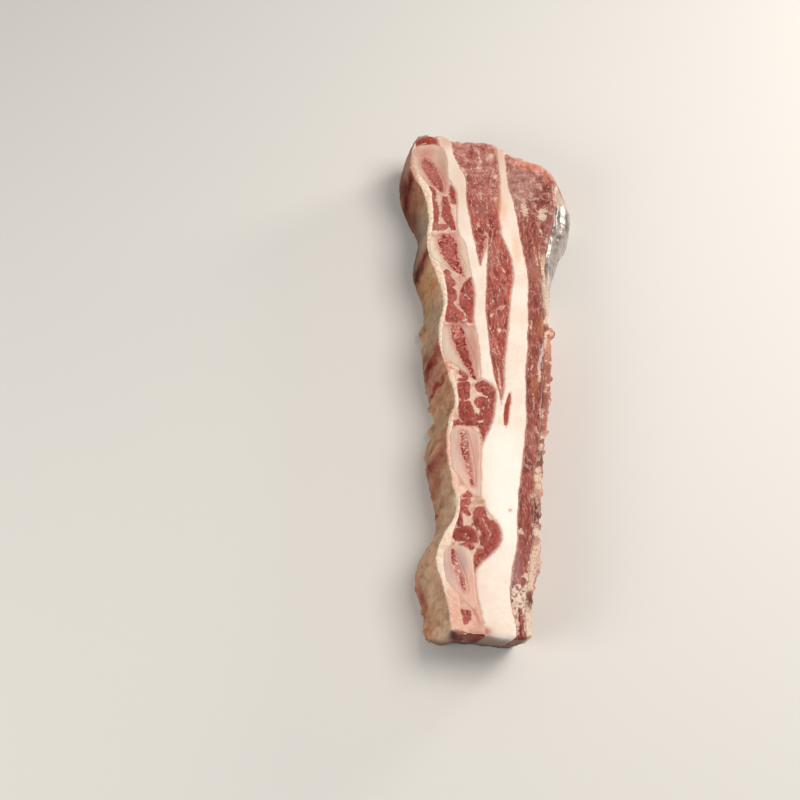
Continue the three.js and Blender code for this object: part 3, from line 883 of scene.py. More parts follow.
@dataclass(frozen=True)
class ChestLining(Finish):
    """The pleura over rim fat: a thin tan membrane with blood-tinged streaks, under sawn cream fat."""

    cream: str = "#f1dfc8"
    pink: str = "#e6b8a2"
    tan: str = "#ca9b78"
    grey: str = "#b19175"
    brown: str = "#9a5c44"
    red: str = "#8a3526"

    def surface(self, nodes: Nodes) -> Surface:
        """Makes the membrane down the chest side and the granular fat of the sawn face above it.

        Args:
            nodes: where the nodes go.
        Returns:
            What the shader reads.
        """
        broad = nodes.add("TexNoise", {"Vector": nodes.mm, "Scale": 0.11, "Detail": 3.0})
        blotch = nodes.add("TexNoise", {"Vector": nodes.mm, "Scale": 0.26, "Detail": 4.0, "Roughness": 0.62})
        skin = nodes.laid(self.tan, self.grey, broad, 0.38, 0.62)
        skin = nodes.tinted(nodes.laid(skin, self.brown, blotch, 0.5, 0.68, 0.5))
        folds = nodes.add("Mapping", {"Vector": nodes.bent(0.15, 6.0), "Scale": (0.4, 0.42, 0.13)})
        streak = nodes.add("TexNoise", {"Vector": folds, "Scale": 1.0, "Detail": 4.0})
        skin = nodes.shaded(skin, streak, 0.3, 0.7, 0.68, 1.24)
        vessels = nodes.add("MapRange", {0: streak, 1: 0.6, 2: 0.72, 4: 0.4})
        skin = nodes.add("Mix", {0: vessels, 6: skin, 7: self.red}, 2, data_type="RGBA")
        fine = nodes.add("TexNoise", {"Vector": nodes.mm, "Scale": 0.6, "Detail": 4.0})
        cut = nodes.tinted(nodes.laid(self.cream, self.pink, fine, 0.42, 0.62, 0.8), "face_tone")
        grit = nodes.add("TexNoise", {"Vector": nodes.mm, "Scale": 1.0, "Detail": 3.0, "Roughness": 0.6})
        cut = nodes.laid(cut, self.cream, grit, 0.54, 0.64, 0.7)
        cut = nodes.laid(cut, self.pink, grit, 0.42, 0.34, 0.5)
        face = nodes.ragged("below_mm", 1.6, 0.5, 0.2, 0.8)
        colour = nodes.add("Mix", {0: face, 6: skin, 7: cut}, 2, data_type="RGBA")
        height = nodes.add("Math", {0: streak, 1: fine}, operation="ADD")
        return Surface(colour, fine, height, 0.5)


@dataclass(frozen=True)
class SawnRib(Finish):
    """Rib bone fresh from the saw: dense greyish pink or cream walls round spongy bone full of red marrow.

    The sponge has pinkish struts about 1 mm apart, with dark wet pits between them, and fades into the wall.
    """

    grey: str = "#cfa594"
    cream: str = "#e6d2bb"
    skin: str = "#c98f80"
    seep: str = "#c47a6c"
    pit: str = "#740f0d"
    red: str = "#a84038"
    strut: str = "#e2a591"

    def sponge(self, nodes: Nodes) -> tuple[Socket, Socket]:
        """Makes the marrow's colour and relief.

        Args:
            nodes: where the nodes go.
        Returns:
            The colour and the height.
        """
        cells = nodes.add("TexNoise", {"Vector": nodes.mm, "Scale": 0.92, "Detail": 3.0, "Roughness": 0.62})
        body = nodes.laid(self.pit, self.red, cells, 0.38, 0.52)
        body = nodes.laid(body, nodes.tinted(self.strut, "strut_tone"), cells, 0.5, 0.64)
        pale = nodes.add("Attribute", out="Color", attribute_name="strut_tone")
        share = nodes.add("Attribute", out="Alpha", attribute_name="strut_tone")
        soft = nodes.add("Math", {0: share, 1: 4.0}, operation="POWER")
        return nodes.thinly(body, pale, soft, 0.65), cells

    def surface(self, nodes: Nodes) -> Surface:
        """Makes the wall with its saw lines and seeping blood, and the sponge inside.

        Args:
            nodes: where the nodes go.
        Returns:
            What the shader reads.
        """
        bone = nodes.add("Mix", {0: 0.5, 6: self.grey, 7: self.cream}, 2, data_type="RGBA")
        turned = {"Vector": nodes.mm, "Rotation": (0, 0, -0.35), "Scale": (1.1, 0.16, 0.5)}
        lines = nodes.add("TexNoise", {"Vector": nodes.add("Mapping", turned), "Scale": 1.0, "Detail": 3.0})
        body = nodes.shaded(nodes.tinted(bone), lines, 0.3, 0.7, 0.9, 1.07)
        body = nodes.thinly(body, self.skin, nodes.ragged("edge_mm", 2.4, 0.5, -0.1, 0.6), 0.2)
        body = nodes.thinly(body, self.seep, nodes.ragged("core_mm", 1.6, 0.9, 0.2, 2.4), 0.6)
        sponge, cells = self.sponge(nodes)
        core = nodes.ragged("core_mm", 1.1, 1.0, -0.25, 0.4)
        body = nodes.add("Mix", {0: core, 6: body, 7: sponge}, 2, data_type="RGBA")
        height = nodes.add("Mix", {0: core, 2: 0.75, 3: cells})
        return Surface(body, lines, height, 0.5)


@dataclass(frozen=True)
class CrumbFat(Finish):
    """Torn fat and scraps of lean on the outer edge: granular, brown-red to salmon, cream where whole."""

    cream: str = "#ecd2b8"
    salmon: str = "#cf8c76"
    lean: str = "#8d463c"

    def surface(self, nodes: Nodes) -> Surface:
        """Makes torn fat with patches of whole fat and dark gaps between its grains.

        Args:
            nodes: where the nodes go.
        Returns:
            What the shader reads.
        """
        broad = nodes.add("TexNoise", {"Vector": nodes.mm, "Scale": 0.3, "Detail": 4.0, "Roughness": 0.6})
        body = nodes.tinted(nodes.laid(self.lean, self.salmon, broad, 0.46, 0.6))
        whole = nodes.add("MapRange", {0: broad, 1: 0.58, 2: 0.64}, interpolation_type="SMOOTHSTEP")
        listed = nodes.ragged("pale_mm", 1.2, 1.5, -0.2, 0.3)
        fat = nodes.add("Math", {0: whole, 1: listed}, operation="MAXIMUM")
        toned = nodes.tinted(self.cream)
        cream = nodes.add("Mix", {0: 0.6, 6: self.cream, 7: toned}, 2, data_type="RGBA")
        body = nodes.add("Mix", {0: fat, 6: body, 7: cream}, 2, data_type="RGBA")
        grains = nodes.add("TexNoise", {"Vector": nodes.mm, "Scale": 0.85, "Detail": 4.0, "Roughness": 0.6})
        body = nodes.laid(body, self.lean, grains, 0.42, 0.33, 0.85)
        return Surface(body, grains, grains, 0.5)


@dataclass(frozen=True)
class WetMembrane(Finish):
    """Silverskin: a tough grey-white sheet with a wet gloss, lean showing faintly through it."""

    pale: str = "#988d84"
    deep: str = "#5a4e47"

    def surface(self, nodes: Nodes) -> Surface:
        """Makes the sheet, darker where lean lies close under it.

        Args:
            nodes: where the nodes go.
        Returns:
            What the shader reads.
        """
        broad = nodes.add("TexNoise", {"Vector": nodes.mm, "Scale": 0.2, "Detail": 3.0})
        body = nodes.tinted(nodes.laid(self.pale, self.deep, broad, 0.4, 0.6))
        fine = nodes.add("TexNoise", {"Vector": nodes.mm, "Scale": 0.35, "Detail": 3.0})
        return Surface(body, fine, fine, 0.34)


# Tissues

# Millimetres that count as far from any seam or rim, and the deepest that is measured in a solid.
FAR_OFF = 9.0
DEEP = 6.0
# Where walls turn into the upper sawn face, by height and by how far a normal points up, and how far the
# normal of a wall may point up or down.
FACE_HEIGHTS = (25.5, 27.2)
FACE_TILTS = (0.3, 0.8)
WALL_TILT = 0.75


def relief(points: np.ndarray, *bumps: Triple) -> np.ndarray:
    """Adds up smooth noise of several sizes.

    Args:
        points: places in millimetres, one row each.
        bumps: height, width and pattern of each size of bump, in millimetres.
    Returns:
        One height per point.
    """
    return sum(height * waves(points, width, pattern) for height, width, pattern in bumps)


def add_crumb(made: bmesh.types.BMesh, radius: float, stretch: tuple, place: tuple) -> None:
    """Adds a rounded crumb to a solid.

    Args:
        made: the solid.
        radius: the crumb's radius.
        stretch: how much it is stretched along each axis.
        place: where it sits.
    """
    grown = bmesh.ops.create_icosphere(made, subdivisions=2, radius=radius)["verts"]
    bmesh.ops.scale(made, vec=Vector(stretch), verts=grown)
    bmesh.ops.translate(made, vec=Vector(place), verts=grown)


@dataclass
class Skin:
    """A tissue's fine skin in millimetres, with a row for each point.

    Normals point outwards, top is where the points came from on the upper face, and fields are the distances
    and tones that the finish reads.
    """

    points: np.ndarray
    normals: np.ndarray
    top: np.ndarray
    fields: dict[str, np.ndarray] = field(default_factory=dict)

    def at_face(self) -> np.ndarray:
        """Gives 1 on the upper sawn face and 0 away from it."""
        return ease(*FACE_HEIGHTS, self.points[:, 2]) * ease(*FACE_TILTS, self.normals[:, 2])

    def plane(self) -> np.ndarray:
        """Gives the places on the upper face a height of 0."""
        return np.concatenate([self.top, np.zeros((len(self.top), 1))], 1)


@dataclass
class Tissue:
    """One tissue of the strip, rebuilt with a fine surface in the place of its solid.

    Grow is how far its walls grow into the gap to its neighbours, voxel the grain of its skin, raised and
    domed the height of its face and of the swell between seams of fat, wrap the pale tissue round its
    bundles, rough_top the height and width of the face's grain, juts how far it stands out at the torn
    far end, dip how far an overgrown edge sinks, and behind_lining how far it keeps from the chest side.
    """

    node: str
    slot: Slot
    material: bpy.types.Material
    grow: float = 0.45
    voxel: float = 0.6
    raised: float = 0.03
    domed: float = 0.0
    wrap: float = 0.5
    rough_top: tuple[float, float] = (0.06, 3.0)
    stains: tuple[Stain, ...] = ()
    near_stains_and_shade: tuple[Stain, ...] = NEAR_TONES_AND_SHADE
    juts: float = 0.0
    dip: float = 0.4
    behind_lining: float = 0.7

    def copied(self) -> bmesh.types.BMesh:
        """Copies the solid in millimetres.

        Returns:
            The copy.
        """
        made = bmesh.new()
        made.from_mesh(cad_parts[self.node].data)
        bmesh.ops.remove_doubles(made, verts=made.verts, dist=1e-6)
        bmesh.ops.scale(made, vec=Vector((1 / MM,) * 3), verts=made.verts)
        made.normal_update()
        return made

    def growth(self, facing: float) -> float:
        """Gives how far a wall grows that faces so far towards +x."""
        return self.grow

    def solid(self) -> bmesh.types.BMesh:
        """Copies the solid and lets its walls grow into the gap to its neighbours.

        Returns:
            The grown solid.
        """
        made = self.copied()
        moves = []
        for vertex in made.verts:
            walls = [loop for loop in vertex.link_loops if abs(loop.face.normal.z) < WALL_TILT]
            across = Vector((0.0, 0.0))
            for loop in walls:
                across += loop.face.normal.xy.normalized() * loop.calc_angle()
            if across.length > 1e-6:
                across.normalize()
                least = min(across.dot(loop.face.normal.xy.normalized()) for loop in walls)
                moves.append((vertex, across * (self.growth(across.x) / max(0.5, least))))
        for vertex, move in moves:
            vertex.co.x += move.x
            vertex.co.y += move.y
        return made

    def distances(self, points: np.ndarray) -> np.ndarray:
        """Measures how far inside the solid's walls points are.

        Args:
            points: places in millimetres.
        Returns:
            Distances in millimetres, at most DEEP, and below 0 outside the walls.
        """
        made = self.copied()
        flat = [face for face in made.faces if abs(face.normal.z) > WALL_TILT]
        bmesh.ops.delete(made, geom=flat, context="FACES_ONLY")
        walls = BVHTree.FromBMesh(made)
        made.free()
        reach = 2 * max(self.growth(1.0), self.growth(-1.0))
        inside = np.full(len(points), DEEP)
        for index, point in enumerate(points.tolist()):
            place, normal, _, distance = walls.find_nearest(Vector(point), DEEP)
            if place is not None:
                # behind a sharp corner the side can't be told, but nothing grows further out than the reach
                outside = distance < reach and (Vector(point) - place).dot(normal) > 0
                inside[index] = -distance if outside else distance
        return inside

    def fused(self, made: bmesh.types.BMesh) -> None:
        """Adds crumbs to the solid before it gets its fine skin. Most tissues have none."""

    def skinned(self) -> bpy.types.Object:
        """Gives the solid an even fine skin.

        Returns:
            The piece, in millimetres.
        """
        made = self.solid()
        self.fused(made)
        coarse = bpy.data.meshes.new(self.node)
        made.to_mesh(coarse)
        made.free()
        piece = bpy.data.objects.new(f"{self.node}_look", coarse)
        bpy.context.scene.collection.objects.link(piece)
        skin = piece.modifiers.new("even skin", "REMESH")
        skin.mode, skin.voxel_size, skin.use_smooth_shade = "VOXEL", self.voxel, True
        relax = piece.modifiers.new("relax", "SMOOTH")
        relax.factor, relax.iterations = 0.5, 1
        graph = bpy.context.evaluated_depsgraph_get()
        fine = bpy.data.meshes.new_from_object(piece.evaluated_get(graph))
        piece.modifiers.clear()
        piece.data = fine
        return piece

    def near_end(self, skin: Skin) -> np.ndarray:
        """Gives the tones and painted shade of the near end face, and no cover elsewhere.

        Args:
            skin: the fine skin.
        Returns:
            RGBA for each point, with the cover in alpha.
        """
        made = washed(self.near_stains_and_shade, skin.points[:, ::2])
        made[:, 3] *= ease(0.35, 0.7, -skin.normals[:, 1]) * ease(-112, -122, skin.points[:, 1])
        return made

    def measure(self, skin: Skin) -> None:
        """Works out the distances and tones that the finish reads.

        Args:
            skin: the fine skin, which gets them.
        """
        top = skin.top
        pale = np.full(len(top), FAR_OFF)
        for feature in CONNECTIVE:
            pale = np.minimum(pale, feature.distance(top))
        if self.node in BUNDLES:
            lean = np.minimum.reduce([bundle.distance(top) for bundle in BUNDLES[self.node]])
            pale = np.minimum(pale, self.wrap - lean)
        # towards the far end fat and lean blend more softly
        pale *= 1 - 0.5 * ease(64, 92, top[:, 1])
        near = self.near_end(skin)
        skin.fields = {
            "pale_mm": np.where(near[:, 3] > 0.4, FAR_OFF, pale), "edge_mm": self.distances(skin.points),
            "tone": laid_over(washed(self.stains, top), near), "pale_tone": washed(PALE_TONES, top),
        }

    def shaped(self, skin: Skin) -> np.ndarray:
        """Moves the fine skin as cut tissue lies: outlines wander and the face is not quite flat.

        Args:
            skin: the measured fine skin.
        Returns:
            The new places.
        """
        points, top, edge = skin.points, skin.top, skin.fields["edge_mm"]
        shape = points.copy()
        # outlines wander less down the walls than along them
        flat = np.concatenate([top, points[:, 2:] * 0.35], 1)
        for axis, pattern in ((0, 3.1), (1, 17.7)):
            shape[:, axis] += relief(flat, (0.5, 7.0, pattern), (0.25, 2.6, pattern + 5))
        # the far end is torn, and so is the outer edge where the silverskin begins
        outline = np.array(STRIP.far)
        torn = ease(5.0, 0.5, np.interp(top[:, 0], outline[:, 0], outline[:, 1]) - top[:, 1])
        shape[:, 1] += torn * (relief(points, (1.5, 4.6, 51.0), (0.7, 1.9, 57.0)) + self.juts)
        joint = ease(22, 25, top[:, 0]) * ease(33, 39, top[:, 1]) * ease(49, 42, top[:, 1])
        shape[:, 1] += joint * relief(points, (2.2, 7.0, 61.0), (0.9, 2.4, 67.0))
        depth, size = self.rough_top
        lift = self.raised + relief(skin.plane(), (0.34, 15.0, 40.0), (depth, size, 9.0))
        if self.domed:
            inside = np.minimum(edge, np.maximum(skin.fields["pale_mm"], 0))
            lift += self.domed * (ease(0.1, 1.8, inside) - 0.6)
        if self.slot not in (Slot.OUTER_RIM, Slot.SILVERSKIN):
            # what has grown past its own walls dips under the neighbour
            lift -= self.dip * ease(-0.08, -0.55, edge)
        shape[:, 2] += skin.at_face() * lift
        if self.slot not in (Slot.CHEST_RIM, Slot.OUTER_RIM, Slot.SILVERSKIN):
            share = np.clip(shape[:, 2] / THICKNESS, 0, 1)
            least = STRIP.side(STRIP.chest, shape[:, 1], share) + self.behind_lining
            shape[:, 0] = np.maximum(shape[:, 0], least)
        return shape

    def build(self) -> bpy.types.Object:
        """Makes, measures, shapes and dresses the piece.

        Returns:
            The finished piece.
        """
        piece = self.skinned()
        mesh = piece.data
        points, normals = np.zeros((2, len(mesh.vertices) * 3))
        mesh.vertices.foreach_get("co", points)
        mesh.vertices.foreach_get("normal", normals)
        points = points.reshape(-1, 3)
        skin = Skin(points, normals.reshape(-1, 3), STRIP.on_top(points))
        self.measure(skin)
        shape = self.shaped(skin)
        shape[:, 2] = np.maximum(shape[:, 2], 0.0)
        # only the sawn faces show a rim of another colour, and not along their ends
        aside = np.maximum(ease(0.5, 0.2, np.abs(skin.normals[:, 2])), ease(-127, -129, skin.top[:, 1]))
        skin.fields["edge_mm"] += FAR_OFF * aside
        mesh.vertices.foreach_set("co", (shape * MM).ravel())
        for name, values in skin.fields.items():
            kind, key = ("FLOAT", "value") if values.ndim == 1 else ("FLOAT_COLOR", "color")
            mesh.attributes.new(name, kind, "POINT").data.foreach_set(key, values.ravel())
        mesh.materials.clear()
        mesh.materials.append(self.material)
        mesh.update()
        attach(piece, "root")
        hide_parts(self.node)
        log.info("%s: %d faces", piece.name, len(mesh.polygons))
        return piece


@dataclass
class RibTissue(Tissue):
    """Bone or marrow of one rib: both carry the distance to the marrow's ragged edge, so that they blend."""

    def measure(self, skin: Skin) -> None:
        """Adds the distance to the marrow and the tone of its struts.

        Args:
            skin: the fine skin, which gets them.
        """
        super().measure(skin)
        core = np.minimum.reduce([core.distance(skin.top) for core in CORES])
        skin.fields["core_mm"] = core * (1 - 0.6 * ease(30, 100, skin.top[:, 1]))
        skin.fields["strut_tone"] = washed(STRUT_TONES, skin.top)
        if self.slot is Slot.MARROW:
            skin.fields["edge_mm"] = np.full(len(core), DEEP)

    def shaped(self, skin: Skin) -> np.ndarray:
        """Sinks the spongy bone a little and pits it.

        Args:
            skin: the measured fine skin.
        Returns:
            The new places.
        """
        shape = super().shaped(skin)
        spongy = ease(0.6, -0.6, skin.fields["core_mm"])
        shape[:, 2] += skin.at_face() * spongy * (relief(skin.plane(), (0.25, 1.2, 33.0)) - 0.2)
        return shape


@dataclass
class ChestRim(Tissue):
    """The rim of fat on the chest side with its lining, which waves and is ragged along its foot.

    Overlap is how far it runs under its neighbours and inset how far its outer side stands back.
    Crumb_spans are the stretches of the foot with crumbs.
    """

    # stains of the lining, with painted shade and sheen among them
    wall_stains_and_shade: tuple[Stain, ...] = ()
    crumb_count: int = 46
    crumb_spans: tuple[Point, ...] = ((-62, -30), (-128, -96), (-12, 26))
    seed: int = 11
    creases: tuple[Seam, ...] = (
        Seam(((-91.4, 28), (-89.6, 25), (-88.4, 22)), 0.5),
        Seam(((-104, 18), (-101, 15), (-98.6, 10.6)), 0.3),
        Seam(((-97.8, 23), (-96, 18), (-95.4, 12)), 0.5),
        Seam(((-126, 22), (-123, 19), (-123.6, 10), (-121.4, 5)), 0.4),
        Seam(((-68.4, 22), (-66.4, 12), (-68, 4)), 0.5),
        Seam(((-60, 27), (-54, 24), (-50, 26)), 0.3),
        Seam(((-47, 25), (-42.6, 19), (-44, 9)), 0.5),
        Seam(((-40.4, 26), (-36.6, 20), (-39, 12)), 0.4),
        Seam(((-27, 25), (-21, 21), (-16, 16.6), (-13.6, 11)), 0.4),
        Seam(((-8.6, 25), (-6.8, 17), (-7.4, 8)), 0.6),
        Seam(((2.4, 22), (4.8, 14), (4, 5)), 0.6),
        Seam(((8.4, 26), (9.4, 16), (12, 6)), 0.4),
        Seam(((44, 26), (47, 16), (45, 6)), 0.4),
    )
    overlap: float = 1.5
    inset: float = 0.3

    def growth(self, facing: float) -> float:
        """Grows under its neighbours, so that it stays whole where it is thin, but not outwards."""
        return -self.inset if facing < -0.2 else self.overlap

    def fused(self, made: bmesh.types.BMesh) -> None:
        """Fuses torn crumbs along the foot of the chest side.

        Args:
            made: the grown solid.
        """
        dice = random.Random(self.seed)
        for _ in range(self.crumb_count):
            y = dice.choice([dice.uniform(*span) for span in self.crumb_spans])
            share = dice.uniform(0.0, 0.22)
            x = float(STRIP.side(STRIP.chest, y, share)) + dice.uniform(0.2, 0.8)
            add_crumb(made, dice.uniform(0.5, 1.3), (0.9, 1.3, 0.8), (x, y, share * THICKNESS + 0.6))

    def measure(self, skin: Skin) -> None:
        """Adds the depth below the sawn face and the stains of the lining, painted shade and sheen among
        them.

        Args:
            skin: the fine skin, which gets them.
        """
        super().measure(skin)
        points, fields = skin.points, skin.fields
        fields["face_tone"] = fields.pop("tone")
        wander = np.stack([waves(points, 4.5, 12.0), waves(points, 7.0, 19.0)], 1)
        wall = washed(self.wall_stains_and_shade, points[:, 1:3] + 2.0 * wander)
        fields["tone"] = laid_over(wall, self.near_end(skin))
        fields["below_mm"] = THICKNESS - points[:, 2]

    def shaped(self, skin: Skin) -> np.ndarray:
        """Adds the waves of the lining to the shape.

        Args:
            skin: the measured fine skin.
        Returns:
            The new places.
        """
        shape = super().shaped(skin)
        points, height = skin.points, skin.points[:, 2]
        wall = ease(0.35, 0.8, -skin.normals[:, 0]) * ease(0.2, 2.5, height) * ease(27.6, 25.5, height)
        swell = relief(points, (0.55, 11.0, 60.0), (0.22, 3.6, 71.0))
        crease = np.minimum.reduce([line.distance(points[:, 1:3]) for line in self.creases])
        swell += 0.4 * ease(0.4, 1.6, crease) * ease(4.0, 1.6, crease) - 0.45 * ease(0.9, 0.0, crease)
        shape += skin.normals * (wall * swell)[:, None]
        grains = ease(-88, -104, skin.top[:, 1]) * skin.at_face()
        shape[:, 2] += grains * relief(skin.plane(), (0.16, 1.4, 66.0))
        return shape


@dataclass
class OuterRim(Tissue):
    """The ragged fat of the outer edge, with crumbs torn by the saw fused on.

    A row of crumbs has y from and to, how many, and the smallest and largest radius.
    """

    crumb_rows: tuple[tuple[float, float, int, float, float], ...] = ()
    seed: int = 5

    def fused(self, made: bmesh.types.BMesh) -> None:
        """Fuses the rows of crumbs.

        Args:
            made: the grown solid.
        """
        dice = random.Random(self.seed)
        for near, far, count, small, large in self.crumb_rows:
            for _ in range(count):
                y = dice.uniform(near, far)
                share = dice.uniform(0.3, 1.0) ** 0.6
                x = float(STRIP.side(STRIP.outer, y, share))
                radius = dice.uniform(small, large)
                stretch = (dice.uniform(0.6, 1.1), dice.uniform(0.8, 1.5), dice.uniform(0.6, 1.1))
                height = min(share * THICKNESS, THICKNESS - 0.1 - radius * 0.5)
                add_crumb(made, radius, stretch, (x - dice.uniform(0.5, 1.7), y, height))

    def shaped(self, skin: Skin) -> np.ndarray:
        """Adds the torn grain of the edge.

        Args:
            skin: the measured fine skin.
        Returns:
            The new places.
        """
        shape = super().shaped(skin)
        torn = ease(0.2, 0.7, skin.normals[:, 0]) * ease(0.3, 3.0, skin.points[:, 2])
        grain = relief(skin.points, (0.5, 2.6, 80.0), (0.25, 1.4, 90.0)) - 0.5
        shape += skin.normals * (torn * grain * ease(42, 34, skin.points[:, 1]))[:, None]
        return shape


@dataclass
class BulgingSheet(Tissue):
    """The silverskin, which sags over a round shoulder and bulges out between the sawn faces in wet lumps."""

    bulge: float = 2.2
    shoulder: float = 4.0

    def shaped(self, skin: Skin) -> np.ndarray:
        """Rounds the upper edge to a shoulder and adds the bulge with its lumps.

        Args:
            skin: the measured fine skin.
        Returns:
            The new places.
        """
        shape = super().shaped(skin)
        y, top = skin.points[:, 1], skin.top
        share = np.clip(skin.points[:, 2] / THICKNESS, 0, 1)
        along = ease(46, 62, y) * ease(101, 90, y)
        close = ease(4.0, 0.0, STRIP.side(STRIP.outer, top[:, 1], np.ones_like(share)) - top[:, 0])
        shape[:, 2] -= along * self.shoulder * close * ease(0.5, 1.0, share) ** 1.5
        swell = self.bulge * np.sin(np.pi * np.clip(share, 0.02, 0.98) ** 1.4) - 0.6 * (1 - share)
        lumps = relief(skin.points, (0.8, 9.0, 21.0), (0.2, 3.6, 27.0))
        shape[:, 0] += close * (along * (swell + lumps) - 0.5 * ease(50, 41, y))
        return shape


# Sub-assemblies


@dataclass
class RibBones:
    """The five sawn ribs with their marrow, both brought level with the sawn face."""

    count: int = 5
    level: dict[str, float] = field(default_factory=lambda: {"bone": 0.11, "marrow": 0.7})
    tones: tuple[Stain, ...] = (
        Stain(-21, 113, 3, 14, "#bd9c88", 0.9, -0.05),
        Stain(-32.2, 108, 2.4, 12, "#ecdac6", 0.95, -0.42),
        Stain(-30, 122, 6, 3.5, "#cf8d7b", 0.8),
        Stain(-12.6, 58, 3.0, 13, "#d8bfa8", 0.9, -0.25),
        Stain(-25, 60, 3.4, 10, "#ead9c2", 0.95, -0.35),
        Stain(-20, 71.6, 7, 2.4, "#c48c7c", 0.9),
        Stain(-10, 6, 3.2, 14, "#c38f80", 0.95, -0.08),
        Stain(-21, 8, 3.0, 11, "#dac1ae", 0.95, -0.3),
        Stain(-15, 19.2, 9, 2.2, "#bc7f6d", 0.85),
        Stain(-13, -5, 1.4, 5, "#cfa79a", 0.8, -0.4),
        Stain(-19.4, -45, 2.4, 12, "#d6b3a8", 0.9, -0.1),
        Stain(-15.4, -66, 3.4, 4.4, "#f2cdb6", 0.95),
        Stain(-10.8, -48, 2.0, 16, "#d3a091", 0.95, -0.02),
        Stain(-17, -61, 3.2, 6, "#e6bba5", 0.8),
        Stain(-22, -50, 1.2, 14, "#e2ab97", 0.8),
        Stain(-23.6, -104, 2.2, 9, "#d2aca2", 0.95, -0.15),
        Stain(-18, -99, 2.0, 7, "#bc9896", 0.9, -0.15),
        Stain(-14, -113, 2.2, 11, "#e0aa98", 0.95, -0.12),
        Stain(-18, -117, 5, 8, "#e4b5a1", 0.95),
    )

    def build(self) -> list[bpy.types.Object]:
        """Builds bones and marrow.

        Returns:
            The pieces.
        """
        finish = SawnRib("sawn rib bone with red marrow", roughness=(0.32, 0.5), subsurface=0.15, wet=0.2)
        rib = finish.material()
        made = []
        for number in range(1, self.count + 1):
            for part, slot in (("bone", Slot.BONE), ("marrow", Slot.MARROW)):
                sizes = {"grow": 0.6, "voxel": 0.5, "raised": self.level[part]}
                tissue = RibTissue(f"rib_{part}_{number}", slot, rib, stains=self.tones, **sizes)
                made.append(tissue.build())
        return made


@dataclass
class RibMuscles:
    """The muscle between the ribs and past the first and the last, cut across its bundles."""

    count: int = 6

    def build(self) -> list[bpy.types.Object]:
        """Builds the lobes.

        Returns:
            The pieces.
        """
        finish = BeefMuscle("beef muscle cut across its grain", bundle_mm=(1.0, 1.5), marbling=0.3, web=0.6)
        lean = finish.material()
        sizes = {"grow": 0.8, "raised": 0.3, "domed": 0.3, "rough_top": (0.1, 2.2)}
        muscles = [
            Tissue(f"intercostal_{number}", Slot.MUSCLE, lean, stains=MUSCLE_TONES, **sizes)
            for number in range(1, self.count + 1)
        ]
        return [muscle.build() for muscle in muscles]


@dataclass
class PlateMuscles:
    """The long muscles of the plate inside and outside the broad seam of fat."""

    def build(self) -> list[bpy.types.Object]:
        """Builds the long muscles.

        Returns:
            The pieces.
        """
        inner = BeefMuscle(
            "marbled inner lean", bundle_mm=(0.9, 2.8), marbling=0.85, crosscut_from=86.0
        ).material()
        sliver = BeefMuscle("thin streak of lean", marbling=0.0, border=0.15).material()
        outer = BeefMuscle(
            "long-grained outer lean", dark="#80413a", mid="#944e45", bright="#b4786c", bundle_mm=(0.8, 3.0),
            waver_mm=2.0, marbling=0.55, web=0.5, tear_mm=(1.3, 1.3), crosscut_from=72.0,
        ).material()
        # node, finish, grain of the skin, and how far it juts out at the far end
        parts = (
            ("inner_lean", inner, 0.6, 0.2),
            ("inner_lean_sliver", sliver, 0.35, 0.0),
            ("outer_lean", outer, 0.6, -1.2),
        )
        sizes = {"grow": 0.8, "raised": 0.3, "domed": 0.15, "rough_top": (0.14, 2.3)}
        muscles = [
            Tissue(node, Slot.MUSCLE, lean, voxel=voxel, juts=juts, stains=MUSCLE_TONES, **sizes)
            for node, lean, voxel, juts in parts
        ]
        return [muscle.build() for muscle in muscles]


